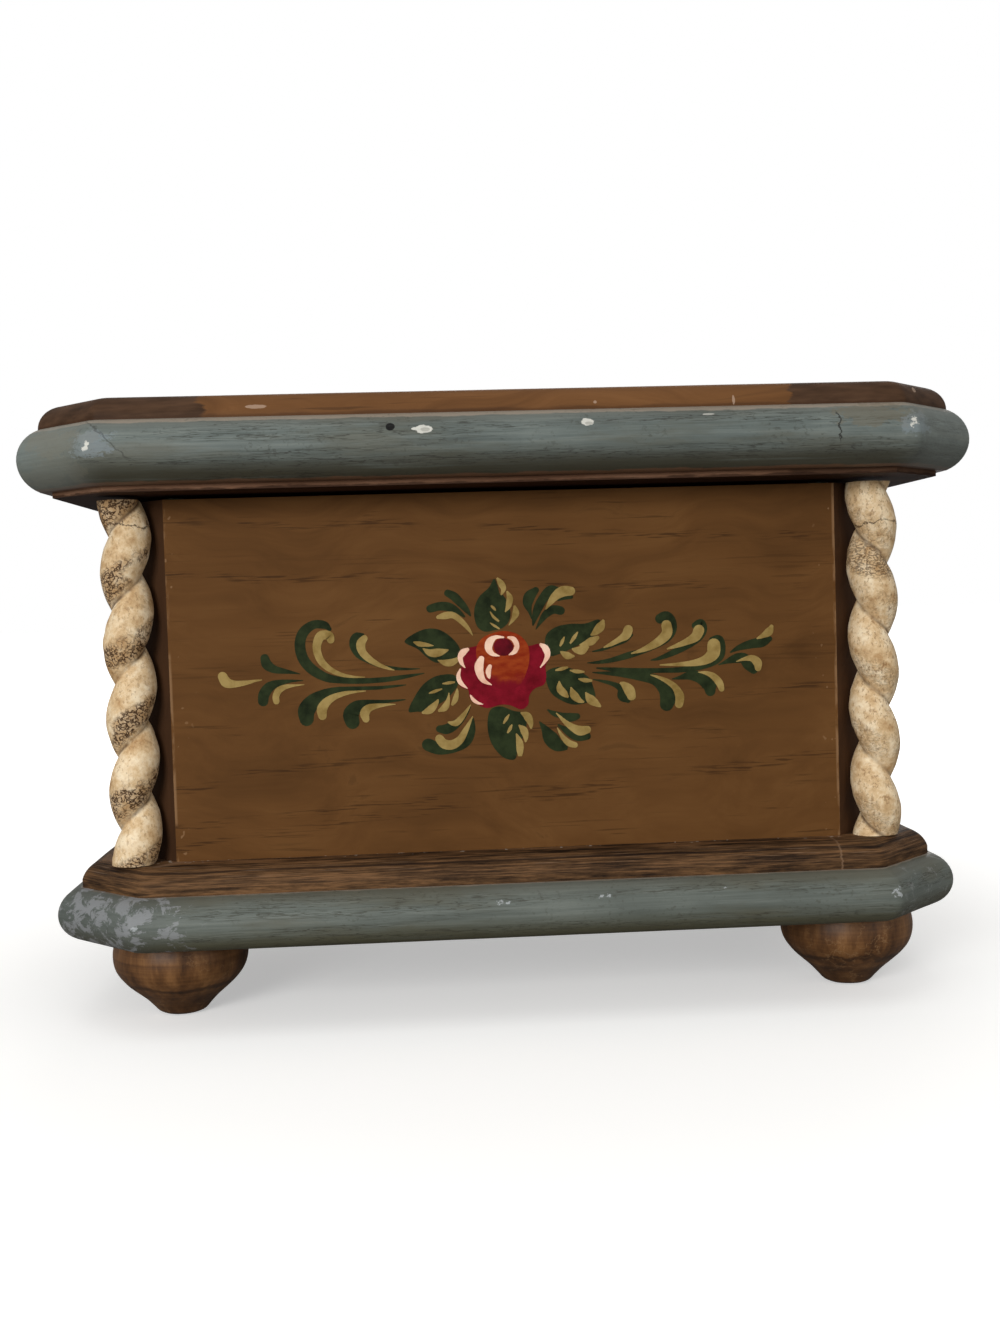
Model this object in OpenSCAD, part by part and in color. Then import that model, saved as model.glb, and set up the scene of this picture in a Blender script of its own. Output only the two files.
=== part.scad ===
// Music box: a small wooden chest with a hinged lid, turned feet and two twisted front columns,
// holding a lined compartment and a spring-wound comb movement. Sizes are in millimetres.
// The front faces -Y, up is +Z and the feet stand on z = 0.

/* [Body] */
// Width across the side panels
body_w = 164; // [156:1:172]
// Depth from the face of the front panel to the flat back
body_d = 103; // [98:1:112]
// Height of the panels
wall_h = 76.8; // [72:0.2:84]
// Thickness of the panels
wall_t = 8; // [7:0.5:8.5]
// Leg of the chamfer at the two front corners
body_chamfer = 10.2; // [9:0.2:11]
// Thickness of the partition between movement and compartment
partition_t = 4; // [3:0.5:5]
// Height left free above the partition
partition_drop = 12; // [9:1:18]
// Thickness of the felt in the compartment
felt_t = 1.5; // [1:0.1:2]

/* [Lid] */
// Overhang of the rolled lid board beyond the body
lid_over = 19.4; // [17:0.1:21]
// Height of the rolled lid board
lid_roll_h = 13; // [11:0.5:15]
// Bulge of the rolled lid board's edge
lid_bulge = 4.3; // [3.5:0.1:5.4]
// Height of the top panel
lid_top_h = 5; // [4:0.1:6]
// Width of the top panel's rounded edge
lid_top_round = 5; // [4:0.5:9]
// Chamfer leg of the top panel
lid_chamfer = 14.5; // [12:0.5:16]
// Thickness of the board under the roll
lid_step_h = 1.2; // [1:0.1:2]
// Overhang of the board under the roll beyond the body
lid_step_over = 12.6; // [11:0.2:13.2]
// Thickness of the lining under the lid
lining_t = 0.8; // [0.5:0.1:1.2]

/* [Base] */
// Height of the rolled base board
base_roll_h = 11.4; // [10:0.2:13]
// Bulge of the rolled base board's edge
base_bulge = 5; // [3:0.1:5.6]
// Overhang of the step board beyond the body
base_step_over = 11; // [10.6:0.2:12]
// Thickness of the step board
base_step_h = 5.4; // [4.6:0.2:6]
// Upright part of the step board's edge
base_step_land = 1.6; // [1:0.1:2]
// Width of the step board's rounded edge
base_step_round = 5; // [4:0.2:5.6]
// Chamfer leg of the step board
base_chamfer = 15.1; // [14:0.1:16]

/* [Columns] */
// Diameter of the columns
column_d = 11; // [10:0.2:12]
// Depth of the twisted groove
column_groove = 2.4; // [1.6:0.1:2.8]
// Rise of the twist in one turn
column_lead = 15.5; // [13:0.5:18]
// Place of the column along the corner chamfer, from its front end
column_along = 6; // [4.6:0.1:7]
// Diameter of the column's tenon
column_tenon_d = 3; // [2.4:0.2:3.2]
// Length of the column's tenon
column_tenon_h = 4; // [3:0.2:4.4]

/* [Feet] */
// Height of the feet
foot_h = 17.6; // [17:0.2:22]
// Largest diameter of the feet
foot_d = 29.6; // [26:0.2:31]
// Diameter of the flat that stands on the table
foot_pad_d = 9.4; // [8:0.2:12]
// Foot centre inward from the side panel's face
foot_in_x = 7.6; // [6:0.1:9]
// Shift of the four feet to the right
foot_shift = 1.2; // [0:0.2:2]
// Front foot centre behind the front panel's face
foot_in_front = 10; // [8:0.5:13]
// Back foot centre in front of the flat back
foot_in_back = 17.5; // [16:0.5:22]
// Diameter of the foot's tenon
foot_tenon_d = 8; // [6:0.5:10]
// Length of the foot's tenon
foot_tenon_h = 8; // [6:0.5:9.5]

/* [Hinges] */
// Hinge centre inward from the side panel's face
hinge_in = 37; // [30:1:44]
// Width of a hinge
leaf_w = 22; // [18:1:28]
// Depth of a hinge leaf on the panel
leaf_d = 6.5; // [5.5:0.1:6.8]
// Thickness of a hinge leaf
leaf_t = 0.4; // [0.3:0.05:0.6]
// Radius of the knuckles
knuckle_r = 1.5; // [1.4:0.1:1.9]
// Radius of the hinge pin
hinge_pin_r = 0.6; // [0.5:0.05:0.7]
// Length of the knuckle on the case leaf
knuckle_mid = 8; // [6:0.5:10]

/* [Movement] */
// Thickness of the bedplate
bed_t = 3; // [2.5:0.1:4]
// Teeth of the crown wheel
crown_teeth = 30;
// Teeth of the cylinder's pinion
drive_teeth = 12;
// Module of crown wheel and pinion
drive_mod = 0.8; // [0.76:0.02:0.82]
// Radius of the spring barrel
barrel_r = 10.2; // [9.6:0.1:10.4]
// Height of the spring barrel
barrel_h = 9; // [8:0.2:11]
// Radius of the winding arbor
wind_r = 1.6; // [1.4:0.1:1.8]
// Radius of the pinned drum
drum_r = 6.5; // [6:0.1:6.6]
// Length of the pinned drum
drum_l = 16; // [15:0.2:17]
// Height of the pins
pin_h = 0.8; // [0.6:0.1:0.9]
// Teeth of the comb
comb_teeth = 18;
// Free length of the comb's teeth
comb_free = 12; // [10:0.5:13]
// Thickness of the comb
comb_t = 1; // [0.8:0.1:1.4]
// Radius of the cylinder's arbor
arbor_r = 1; // [0.9:0.05:1.2]
// Teeth of the wheel on the cylinder
wheel_teeth = 36;
// Teeth of the second pinion
second_teeth = 12;
// Teeth of the worm wheel
worm_teeth = 20;
// Module of the fine train
train_mod = 0.4; // [0.38:0.01:0.41]
// Width across the fly's fan
fan_w = 12; // [10:0.5:12.5]
// Height of the fly's fan
fan_h = 4; // [3:0.2:4.4]
// Radius of the stop rod
rod_r = 0.8; // [0.6:0.05:1]
// Rise of the stop rod when the lid opens
rod_rise = 3; // [2:0.2:3.4]

/* [Key] */
// Width across the key's wings
key_w = 20; // [16:1:24]
// Radius of the key's sleeve
key_r = 3.4; // [3:0.1:4]
// Thickness of the key's wings
key_t = 2.2; // [1.8:0.1:3]

/* [Fits] */
// Radial clearance of glued and pressed joints
fit = 0.02; // [0.01:0.01:0.04]
// Radial clearance of turning joints
run = 0.05; // [0.03:0.01:0.08]
// Clearance between pieces that pass each other
pass = 0.1; // [0.06:0.02:0.16]

/* [Hidden] */
$fn = 48;

// Heights, from the table up
z_step = foot_h + base_roll_h;
z_floor = z_step + base_step_h;
z_wall = z_floor + wall_h;
lid_gap = 2 * leaf_t + pass;
z_lid = z_wall + lid_gap;
z_lid_roll = z_lid + lid_step_h;
z_lid_top = z_lid_roll + lid_roll_h;

// Plan of the body
bw = body_w / 2;
knuckle_d = 2 * knuckle_r + 2 * pass;
py = (lid_over - body_d - knuckle_d) / 2;
by = py + body_d;
fw = bw - body_chamfer;
in_x = bw - wall_t;
in_front = py + wall_t;
in_back = by - wall_t;
post_block = 8;
bumper_r = 2.5;
grow = 2 - sqrt(2);
step_lip = 0.15;
step_core = 0.5;

// Columns
column_r = column_d / 2;
column_out = column_r + run;
column_start_left = 203;
column_start_right = 84;
column_x = fw + (column_along + column_out) / sqrt(2);
column_y = py + (column_along - column_out) / sqrt(2);
step_edge = (bw - base_chamfer - py) / sqrt(2) + sqrt(2) * base_step_over;
tenon_out = step_edge - base_step_round - column_tenon_d / 2 - 0.3;
tenon_room = column_r - column_groove - column_tenon_d / 2;
tenon_in = min(tenon_room, max(0, (column_x - column_y) / sqrt(2) - tenon_out)) / sqrt(2);

// Feet
foot_left = foot_shift + foot_in_x - bw;
foot_right = foot_shift + bw - foot_in_x;
foot_front = py + foot_in_front;
foot_back = by - foot_in_back;

// Hinges
axis_y = by + knuckle_r + 2 * pass;
axis_z = z_wall + leaf_t + pass / 2;
hinge_x = bw - hinge_in;
leaf_y = by - leaf_d;
screw_y = by - leaf_d / 2;
screw_dx = leaf_w / 2 - 4;
screw_r = 0.7;
screw_head_r = 1.3;
screw_l = 6;

// Movement, placed from the spring barrel's axis
mx = 19 - in_x;
my = 2;
zb = z_floor + bed_t;
crown_pr = drive_mod * crown_teeth / 2;
drive_pr = drive_mod * drive_teeth / 2;
crown_face = 2.6;
crown_t = 1.2;
crown_tooth_h = 2 * drive_mod;
barrel_z = zb + 0.6;
crown_z = barrel_z + barrel_h;
zc = crown_z + crown_t + crown_tooth_h - 0.75 * drive_mod + drive_pr;
post_t = 2;
post_x = mx + crown_pr + crown_face / 2 + 1.3;
drum_x = post_x + post_t + 1;
drum_end = drum_x + drum_l;
wheel_x = drum_end + 0.6;
wheel_t = 1.2;
post2_x = wheel_x + wheel_t + 1.2;
second_d = train_mod * (wheel_teeth + second_teeth) / 2 + 0.1;
second_a = 18;
second_y = my + second_d * cos(second_a);
second_z = zc + second_d * sin(second_a);
second_r = 0.7;
worm_x = post2_x + post_t / 2;
worm_wr = train_mod * worm_teeth / 2;
worm_r = 1;
worm_e = 0.35;
worm_lead = PI * train_mod;
worm_l = 5;
fly_y = second_y + worm_wr + worm_r + worm_e + 0.05;
fly_r = 0.5;
fan_z = second_z + worm_wr + train_mod + 0.6;
frame_t = 1.2;
frame_x = drum_end - 2.6;
frame_end = post2_x + post_t + 2.6;
frame_in = my + drum_r + pin_h + 0.5;
frame_back = fly_y + fan_w / 2 + 0.8;
frame_back_t = 2;
arm_low = second_z - worm_wr - train_mod - 1.2 - frame_t;
arm_high = fan_z + fan_h + 0.8;
bed_x = mx - crown_pr - crown_face / 2 - 2;
bed_end = frame_end + 1.2;
comb_tip = my - drum_r - pin_h - 0.2;
comb_heel = 6.5;
comb_root = comb_tip - comb_free;
comb_back = comb_root - comb_heel;
bed_front = comb_back - 0.4;
bed_back = frame_back + frame_back_t + 0.8;
comb_pitch = (drum_l - 0.6) / comb_teeth;
comb_screw_y = comb_back + comb_heel / 2 - 0.2;
comb_screw_l = 5.8;
small_screw_r = 0.8;
cheek_h = 4.8;
arm_w = 4;
frame_foot_d = 6;
gov_screws = [frame_x + 2.8, frame_end - 2.8];
gov_screw_y = frame_back - 3.4;
bed_screw_r = 1.2;
bed_screws = [
    [bed_x + 3, my + 12],
    [bed_x + 3, bed_front + 4],
    [bed_end - 3, bed_front + 4],
    [post_x + 2, bed_back - 4]
];

// Partition, stop rod and compartment
partition_x = frame_end + 4.6;
partition_z = z_wall - partition_drop;
rod_x = partition_x - 2;
rod_y = fly_y + fan_w / 2;
rod_low = fan_z - 7;
rod_top = z_lid - lining_t - pass;
guide_h = 3;
guide_w = 5;
guide_z = fan_z - 5;
guide2_z = partition_z - 5;
rod_tip = fan_w / 2 + 0.3;
rod_away = sqrt(pow(rod_x - worm_x, 2) + pow(rod_y - fly_y, 2));

// Key and arbor
key_low = 6;
key_lobe_r = 5;
key_grip = 7;
key_high = foot_h - 1;
key_hole_r = wind_r + 1.4;
arbor_top = crown_z + crown_t + 1.8;

// Section of a board with a rolled edge: x = 0 is the outermost line
module rolled_section(len, h, bulge) {
    r = (h * h / 4 + bulge * bulge) / (2 * bulge);
    translate([-len, 0]) square([len - bulge, h]);
    intersection() {
        translate([-r, h / 2]) circle(r);
        translate([-bulge - 1, 0]) square([bulge + 2, h]);
    }
}

// Section of a board with a rounded upper edge
module rounded_section(len, h, w) {
    r = (w * w + h * h) / (2 * h);
    translate([-len, 0]) square([len - w, h]);
    intersection() {
        translate([-w, h - r]) circle(r);
        translate([-w - 1, 0]) square([w + 1, h]);
    }
}

// Plan of a board: chamfered front corners, flat back
module board_plan(over, leg) {
    hw = bw + over;
    fy = py - over;
    polygon([
        [-hw, by],
        [-hw, fy + leg],
        [leg - hw, fy],
        [hw - leg, fy],
        [hw, fy + leg],
        [hw, by]
    ]);
}

// Board run of one edge: the section is the child, the edge lies at a distance from the origin
module edge_run(angle, dist, z) {
    rotate([0, 0, angle])
        translate([dist, 0, z])
            rotate([90, 0, 0])
                linear_extrude(height = 2 * (body_w + body_d), center = true) children();
}

// Board with the same edge at the front, the sides and the chamfered front corners, flat at the back
module edged_board(over, leg, z) {
    hw = bw + over;
    fy = over - py;
    ch = (hw - leg + fy) / sqrt(2);
    intersection() {
        edge_run(-90, fy, z) intersection() {
            children();
            translate([-over - body_d, 0]) square([over + body_d + 1, 50]);
        }
        edge_run(0, hw, z) children();
        edge_run(180, hw, z) children();
        edge_run(-45, ch, z) children();
        edge_run(-135, ch, z) children();
    }
}

// Upright hole or pin at a place
module post_at(x, y, z0, z1, r) {
    translate([x, y, z0]) cylinder(h = z1 - z0, r = r);
}

// Plan outline of a gear with straight-sided teeth
function gear_points(n, mod, add, ded, wide, thin) = [
    for (i = [0 : n - 1]) for (k = [0 : 3])
        let (
            pr = mod * n / 2,
            r = (k == 0 || k == 3) ? pr - ded : pr + add,
            w = (k == 0 || k == 3) ? wide : thin,
            s = (k < 2) ? -1 : 1,
            a = 360 * i / n + s * w * mod * 90 / r
        )
        [r * cos(a), r * sin(a)]
];

// Gear on an axis along X, from x0 to x0 + t, with its first tooth at angle a in the YZ plane
module gear_x(n, mod, wide, thin, x0, t, y, z, a, bore) {
    translate([x0, y, z]) rotate([90, 0, 90]) linear_extrude(height = t) difference() {
        rotate(a) polygon(gear_points(n, mod, 0.85 * mod, 1.1 * mod, wide, thin));
        circle(bore);
    }
}

// Cylinder on an axis along X
module rod_along_x(x0, x1, y, z, r) {
    translate([x0, y, z]) rotate([0, 90, 0]) cylinder(h = x1 - x0, r = r);
}

// Panel screw: flush head on top, shank below
module flush_screw(x, y, z, dir) {
    translate([x, y, z]) mirror([0, 0, dir < 0 ? 1 : 0]) {
        cylinder(h = leaf_t, r = screw_head_r);
        translate([0, 0, -screw_l]) cylinder(h = screw_l + leaf_t / 2, r = screw_r);
    }
}

module screw_bores(dir, z) {
    for (sx = [-1, 1]) for (dx = [-1, 1])
        translate([sx * hinge_x + dx * screw_dx, screw_y, z])
            mirror([0, 0, dir < 0 ? 1 : 0])
                translate([0, 0, -screw_l - 0.3]) cylinder(h = screw_l + 1.3, r = screw_r + fit);
}

module foot_bores() {
    for (x = [foot_left, foot_right]) for (y = [foot_front, foot_back])
        post_at(x, y, foot_h - 1, foot_h + foot_tenon_h + 0.5, foot_tenon_d / 2 + fit);
}

module bed_screw_bores(z0) {
    for (p = bed_screws) post_at(p[0], p[1], z0, zb + 1, bed_screw_r + fit);
}

// Case
module base_roll_board() {
    color([0.37, 0.43, 0.44]) difference() {
        edged_board(base_step_over + base_bulge, base_chamfer + grow * base_bulge, foot_h)
            rolled_section(2 * (body_w + body_d), base_roll_h, base_bulge);
        foot_bores();
        post_at(mx, my, foot_h - 1, z_step + 1, key_hole_r);
        bed_screw_bores(z_step - 4);
    }
}

module base_step_board() {
    color([0.31, 0.2, 0.14]) difference() {
        union() {
            translate([0, 0, z_step]) linear_extrude(height = base_step_land)
                board_plan(base_step_over, base_chamfer);
            edged_board(base_step_over - step_lip, base_chamfer - grow * step_lip, z_step + base_step_land)
                rounded_section(2 * (body_w + body_d), base_step_h - base_step_land,
                    base_step_round - step_lip);
            translate([0, 0, z_step + step_core]) linear_extrude(height = base_step_h - 2 * step_core)
                board_plan(base_step_over - base_step_round - 1, base_chamfer);
        }
        post_at(mx, my, z_step - 1, z_floor + 1, key_hole_r);
        bed_screw_bores(z_step - 1);
        for (sx = [-1, 1])
            post_at(sx * (column_x - tenon_in), column_y + tenon_in, z_floor - column_tenon_h - 0.3,
                z_floor + 1, column_tenon_d / 2 + fit);
    }
}

module front_panel() {
    color([0.37, 0.26, 0.16]) translate([-fw, py, z_floor]) cube([2 * fw, wall_t, wall_h]);
}

module back_panel() {
    color([0.37, 0.26, 0.16]) difference() {
        translate([-in_x, in_back, z_floor]) cube([2 * in_x, wall_t, wall_h]);
        screw_bores(1, z_wall);
    }
}

module side_panel(sx) {
    x0 = sx > 0 ? in_x : -bw;
    translate([x0, py + body_chamfer, z_floor]) cube([wall_t, body_d - body_chamfer, wall_h]);
}

module left_panel() {
    color([0.37, 0.26, 0.16]) side_panel(-1);
}

module right_panel() {
    color([0.37, 0.26, 0.16]) side_panel(1);
}

module corner_post(sx) {
    mirror([sx < 0 ? 1 : 0, 0, 0])
        translate([0, 0, z_floor])
            linear_extrude(height = wall_h)
                polygon([
                    [fw, py],
                    [bw, py + body_chamfer],
                    [in_x, py + body_chamfer],
                    [in_x, py + body_chamfer + post_block],
                    [fw - post_block, in_front],
                    [fw, in_front]
                ]);
}

module corner_post_left() {
    color([0.34, 0.23, 0.14]) corner_post(-1);
}

module corner_post_right() {
    color([0.34, 0.23, 0.14]) corner_post(1);
}

// Twisted column: one rounded strand with a sharp groove, standing on a tenon
module twisted_column(start) {
    linear_extrude(height = wall_h, twist = -360 * wall_h / column_lead, slices = 60, $fn = 20)
        polygon([
            for (i = [0 : 19])
                let (a = 18 * i - 180, r = column_r - column_groove * pow(a / 180, 2))
                [r * cos(a + start), r * sin(a + start)]
        ]);
    translate([tenon_in, tenon_in, -column_tenon_h])
        cylinder(h = column_tenon_h + 1, r = column_tenon_d / 2);
}

module column_left() {
    color([0.8, 0.7, 0.56]) translate([-column_x, column_y, z_floor]) twisted_column(column_start_left);
}

module column_right() {
    color([0.8, 0.7, 0.56])
        translate([column_x, column_y, z_floor]) mirror([1, 0, 0]) twisted_column(column_start_right);
}

// Turned foot: a cone from the pad, a bulge and a neck, with a tenon on top
module turned_foot(x, y) {
    r = foot_d / 2;
    b = 0.34 * foot_h;
    zm = 0.635 * foot_h;
    translate([x, y, 0]) rotate_extrude() {
        polygon([
            [0, 0],
            [foot_pad_d / 2, 0],
            [r - 0.66 * b, zm - 0.98 * b],
            [r - b, foot_h],
            [0, foot_h]
        ]);
        intersection() {
            translate([r - b, zm]) circle(b);
            square([r + 1, foot_h]);
        }
        translate([0, foot_h - 1]) square([foot_tenon_d / 2, foot_tenon_h + 1]);
    }
}

module foot_front_left() {
    color([0.37, 0.24, 0.15]) turned_foot(foot_left, foot_front);
}

module foot_front_right() {
    color([0.37, 0.24, 0.15]) turned_foot(foot_right, foot_front);
}

module foot_back_left() {
    color([0.37, 0.24, 0.15]) turned_foot(foot_left, foot_back);
}

module foot_back_right() {
    color([0.37, 0.24, 0.15]) turned_foot(foot_right, foot_back);
}

module partition() {
    color([0.42, 0.3, 0.19])
        translate([partition_x, in_front, z_floor])
            cube([partition_t, in_back - in_front, partition_z - z_floor]);
}

module compartment_felt() {
    x0 = partition_x + partition_t;
    color([0.35, 0.06, 0.12]) translate([0, 0, z_floor]) linear_extrude(height = felt_t) difference() {
        translate([x0 + pass, in_front + pass])
            square([in_x - x0 - 2 * pass, in_back - in_front - 2 * pass]);
        polygon([
            [fw - post_block - 2 * pass, in_front],
            [in_x, py + body_chamfer + post_block + 2 * pass],
            [in_x, in_front]
        ]);
    }
}

module lid_bumpers() {
    color([0.2, 0.25, 0.2]) for (sx = [-1, 1])
        post_at(sx * (fw - 1), in_front + 0.5, z_wall, z_lid - pass / 2, bumper_r);
}

// Hinge leaf on the case: a plate with the middle knuckle
module case_leaf(x) {
    difference() {
        union() {
            translate([x - leaf_w / 2, leaf_y, z_wall]) cube([leaf_w, leaf_d, leaf_t]);
            translate([x - knuckle_mid / 2, by - 1, z_wall]) cube([knuckle_mid, axis_y - by + 1, leaf_t]);
            rod_along_x(x - knuckle_mid / 2, x + knuckle_mid / 2, axis_y, axis_z, knuckle_r);
        }
        rod_along_x(x - leaf_w, x + leaf_w, axis_y, axis_z, hinge_pin_r + fit);
        for (dx = [-1, 1])
            post_at(x + dx * screw_dx, screw_y, z_wall - 1, z_lid, screw_head_r + fit);
    }
}

module hinge_case_leaf_left() {
    color([0.75, 0.6, 0.3]) case_leaf(-hinge_x);
}

module hinge_case_leaf_right() {
    color([0.75, 0.6, 0.3]) case_leaf(hinge_x);
}

module hinge_pin_left() {
    color([0.7, 0.55, 0.28])
        rod_along_x(-hinge_x - leaf_w / 2, -hinge_x + leaf_w / 2, axis_y, axis_z, hinge_pin_r);
}

module hinge_pin_right() {
    color([0.7, 0.55, 0.28])
        rod_along_x(hinge_x - leaf_w / 2, hinge_x + leaf_w / 2, axis_y, axis_z, hinge_pin_r);
}

module hinge_case_screws() {
    color([0.72, 0.58, 0.3]) for (sx = [-1, 1]) for (dx = [-1, 1])
        flush_screw(sx * hinge_x + dx * screw_dx, screw_y, z_wall, 1);
}

// Cast bedplate with the cylinder's two posts and the block under the comb
module bedplate() {
    color([0.62, 0.62, 0.6]) difference() {
        union() {
            translate([bed_x, bed_front, z_floor])
                cube([bed_end - bed_x, bed_back - bed_front, bed_t]);
            for (x = [post_x, post2_x]) {
                translate([x, my - 3.5, zb - 1]) cube([post_t, 7, zc - zb + 1]);
                rod_along_x(x, x + post_t, my, zc, 3.5);
            }
            translate([drum_x - 1.6, comb_back, zb - 1])
                cube([drum_l + 3.2, comb_heel - 0.4, zc - comb_t / 2 - zb + 1]);
        }
        post_at(mx, my, z_floor - 1, zb + 1, wind_r + run);
        post_at(mx, my, z_floor - 1, z_floor + 2, wind_r + 1.2);
        rod_along_x(post_x - 1, post2_x + 5, my, zc, arbor_r + run);
        bed_screw_bores(z_floor - 1);
        for (i = [-1 : 1])
            post_at(drum_x + drum_l / 2 + i * drum_l / 3, comb_screw_y,
                zc - comb_t / 2 - comb_screw_l - 0.2, zc, small_screw_r + fit);
        for (x = gov_screws)
            post_at(x, gov_screw_y, zb - 2.2, zb + 1, small_screw_r + fit);
    }
}

module bedplate_screws() {
    color([0.7, 0.7, 0.68]) for (p = bed_screws) {
        post_at(p[0], p[1], z_step - 3.6, zb + 0.5, bed_screw_r);
        post_at(p[0], p[1], zb, zb + 1.2, 2.2);
    }
}

// Coiled one-way clutch that grips the winding arbor, in a recess under the bedplate
module winding_clutch() {
    color([0.55, 0.56, 0.58]) translate([mx, my, z_floor]) rotate_extrude() {
        translate([wind_r + run, 0.06]) square([1.2 - run - fit, 0.88]);
        translate([wind_r + run, 1.02]) square([1.2 - run - fit, 0.88]);
        translate([wind_r + run + 0.3, 0]) square([0.5, 1.5]);
    }
}

module comb() {
    color([0.6, 0.62, 0.64]) difference() {
        union() {
            translate([drum_x - 1, comb_back, zc - comb_t / 2]) cube([drum_l + 2, comb_heel, comb_t]);
            for (i = [0 : comb_teeth - 1])
                translate([drum_x + 0.3 + comb_pitch * (i + 0.18), comb_root - 0.5, zc - comb_t / 2])
                    cube([comb_pitch * 0.64, comb_free + 0.5, comb_t * 0.7]);
        }
        for (i = [-1 : 1])
            post_at(drum_x + drum_l / 2 + i * drum_l / 3, comb_screw_y,
                zc - comb_t, zc + comb_t, small_screw_r + fit);
    }
}

module comb_screws() {
    color([0.7, 0.7, 0.68]) for (i = [-1 : 1]) {
        x = drum_x + drum_l / 2 + i * drum_l / 3;
        post_at(x, comb_screw_y, zc - comb_t / 2 - comb_screw_l, zc + comb_t / 2 + 0.5, small_screw_r);
        post_at(x, comb_screw_y, zc + comb_t / 2, zc + comb_t / 2 + 1.1, 1.7);
    }
}

// Frame of the governor: two cheeks for the second arbor, two arms for the fly
module governor_frame() {
    color([0.72, 0.6, 0.34]) difference() {
        union() {
            translate([frame_x, frame_back, zb])
                cube([frame_end - frame_x, frame_back_t, arm_high + frame_t - zb]);
            for (x = [frame_x, frame_end - frame_t])
                translate([x, frame_in, second_z - cheek_h / 2])
                    cube([frame_t, frame_back - frame_in + 0.5, cheek_h]);
            for (z = [arm_low, arm_high])
                translate([worm_x - arm_w / 2, fly_y - arm_w / 2, z])
                    cube([arm_w, frame_back - fly_y + arm_w / 2 + 0.5, frame_t]);
            translate([frame_x, frame_back - frame_foot_d, zb])
                cube([frame_end - frame_x, frame_foot_d + 0.5, frame_t]);
        }
        rod_along_x(frame_x - 1, frame_end + 1, second_y, second_z, second_r + run);
        post_at(worm_x, fly_y, arm_low + 0.3, arm_high + frame_t + 1, fly_r + run);
        for (x = gov_screws)
            post_at(x, gov_screw_y, zb - 1, zb + 3, small_screw_r + fit);
    }
}

module governor_screws() {
    color([0.7, 0.7, 0.68]) for (x = gov_screws) {
        post_at(x, gov_screw_y, zb - 2, zb + frame_t + 0.5, small_screw_r);
        post_at(x, gov_screw_y, zb + frame_t, zb + frame_t + 1, 1.6);
    }
}

// Two blocks on the partition that guide the stop rod
module stop_guides() {
    color([0.72, 0.6, 0.34]) difference() {
        for (z = [guide_z, guide2_z])
            translate([rod_x - 1.8, rod_y - guide_w / 2, z])
                cube([partition_x - rod_x + 1.8, guide_w, guide_h]);
        post_at(rod_x, rod_y, guide_z - 1, guide2_z + guide_h + 1, rod_r + run);
    }
}

// Lid
module lid_step_board() {
    color([0.42, 0.3, 0.19]) difference() {
        translate([0, 0, z_lid]) linear_extrude(height = lid_step_h)
            board_plan(lid_step_over, lid_chamfer - grow * (lid_over - lid_bulge - lid_step_over));
        screw_bores(-1, z_lid);
    }
}

module lid_roll_board() {
    color([0.37, 0.43, 0.44]) difference() {
        edged_board(lid_over, lid_chamfer + grow * lid_bulge, z_lid_roll)
            rolled_section(2 * (body_w + body_d), lid_roll_h, lid_bulge);
        screw_bores(-1, z_lid);
    }
}

module lid_top_panel() {
    color([0.36, 0.23, 0.15]) edged_board(lid_over - lid_bulge, lid_chamfer, z_lid_top)
        rounded_section(2 * (body_w + body_d), lid_top_h, lid_top_round);
}

module lid_lining() {
    in = post_block + 4;
    color([0.35, 0.06, 0.12]) translate([-in_x + 2, in_front + in, z_lid - lining_t])
        cube([2 * in_x - 4, in_back - in_front - in - 2, lining_t]);
}

// Hinge leaf on the lid: a plate with the two outer knuckles
module lid_leaf(x) {
    k0 = knuckle_mid / 2 + pass;
    difference() {
        union() {
            translate([x - leaf_w / 2, leaf_y, z_lid - leaf_t]) cube([leaf_w, leaf_d, leaf_t]);
            for (s = [0, 1]) mirror([s, 0, 0]) translate([s > 0 ? -x : x, 0, 0]) {
                translate([k0, by - 1, z_lid - leaf_t]) cube([leaf_w / 2 - k0, axis_y - by + 1, leaf_t]);
                rod_along_x(k0, leaf_w / 2, axis_y, axis_z, knuckle_r);
            }
        }
        rod_along_x(x - leaf_w, x + leaf_w, axis_y, axis_z, hinge_pin_r + run);
        for (dx = [-1, 1])
            post_at(x + dx * screw_dx, screw_y, z_lid - 2, z_lid + 1, screw_head_r + fit);
    }
}

module hinge_lid_leaf_left() {
    color([0.75, 0.6, 0.3]) lid_leaf(-hinge_x);
}

module hinge_lid_leaf_right() {
    color([0.75, 0.6, 0.3]) lid_leaf(hinge_x);
}

module hinge_lid_screws() {
    color([0.72, 0.58, 0.3]) for (sx = [-1, 1]) for (dx = [-1, 1])
        flush_screw(sx * hinge_x + dx * screw_dx, screw_y, z_lid, -1);
}

// Winding key: a sleeve with two round-ended wings
module winding_key() {
    color([0.76, 0.62, 0.32]) difference() {
        union() {
            post_at(mx, my, key_low + 3, key_high, key_r);
            translate([mx, my + key_t / 2, 0]) rotate([90, 0, 0]) linear_extrude(height = key_t) {
                for (s = [-1, 1])
                    translate([s * (key_w / 2 - key_lobe_r), key_low + key_lobe_r]) circle(key_lobe_r);
                translate([key_lobe_r - key_w / 2, key_low + 1.5]) square([key_w - 2 * key_lobe_r, 7]);
            }
        }
        post_at(mx, my, key_high - key_grip, key_high + 1, wind_r + fit);
        for (s = [-1, 1]) translate([mx + s * (key_w / 2 - 4.6), my + key_t, key_low + key_lobe_r])
            rotate([90, 0, 0]) cylinder(h = 2 * key_t, r = 1.8);
    }
}

module winding_arbor() {
    color([0.6, 0.6, 0.6]) {
        post_at(mx, my, key_high - key_grip + 0.1, arbor_top, wind_r);
        post_at(mx, my, crown_z + crown_t + run, arbor_top, wind_r + 1.2);
    }
}

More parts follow.
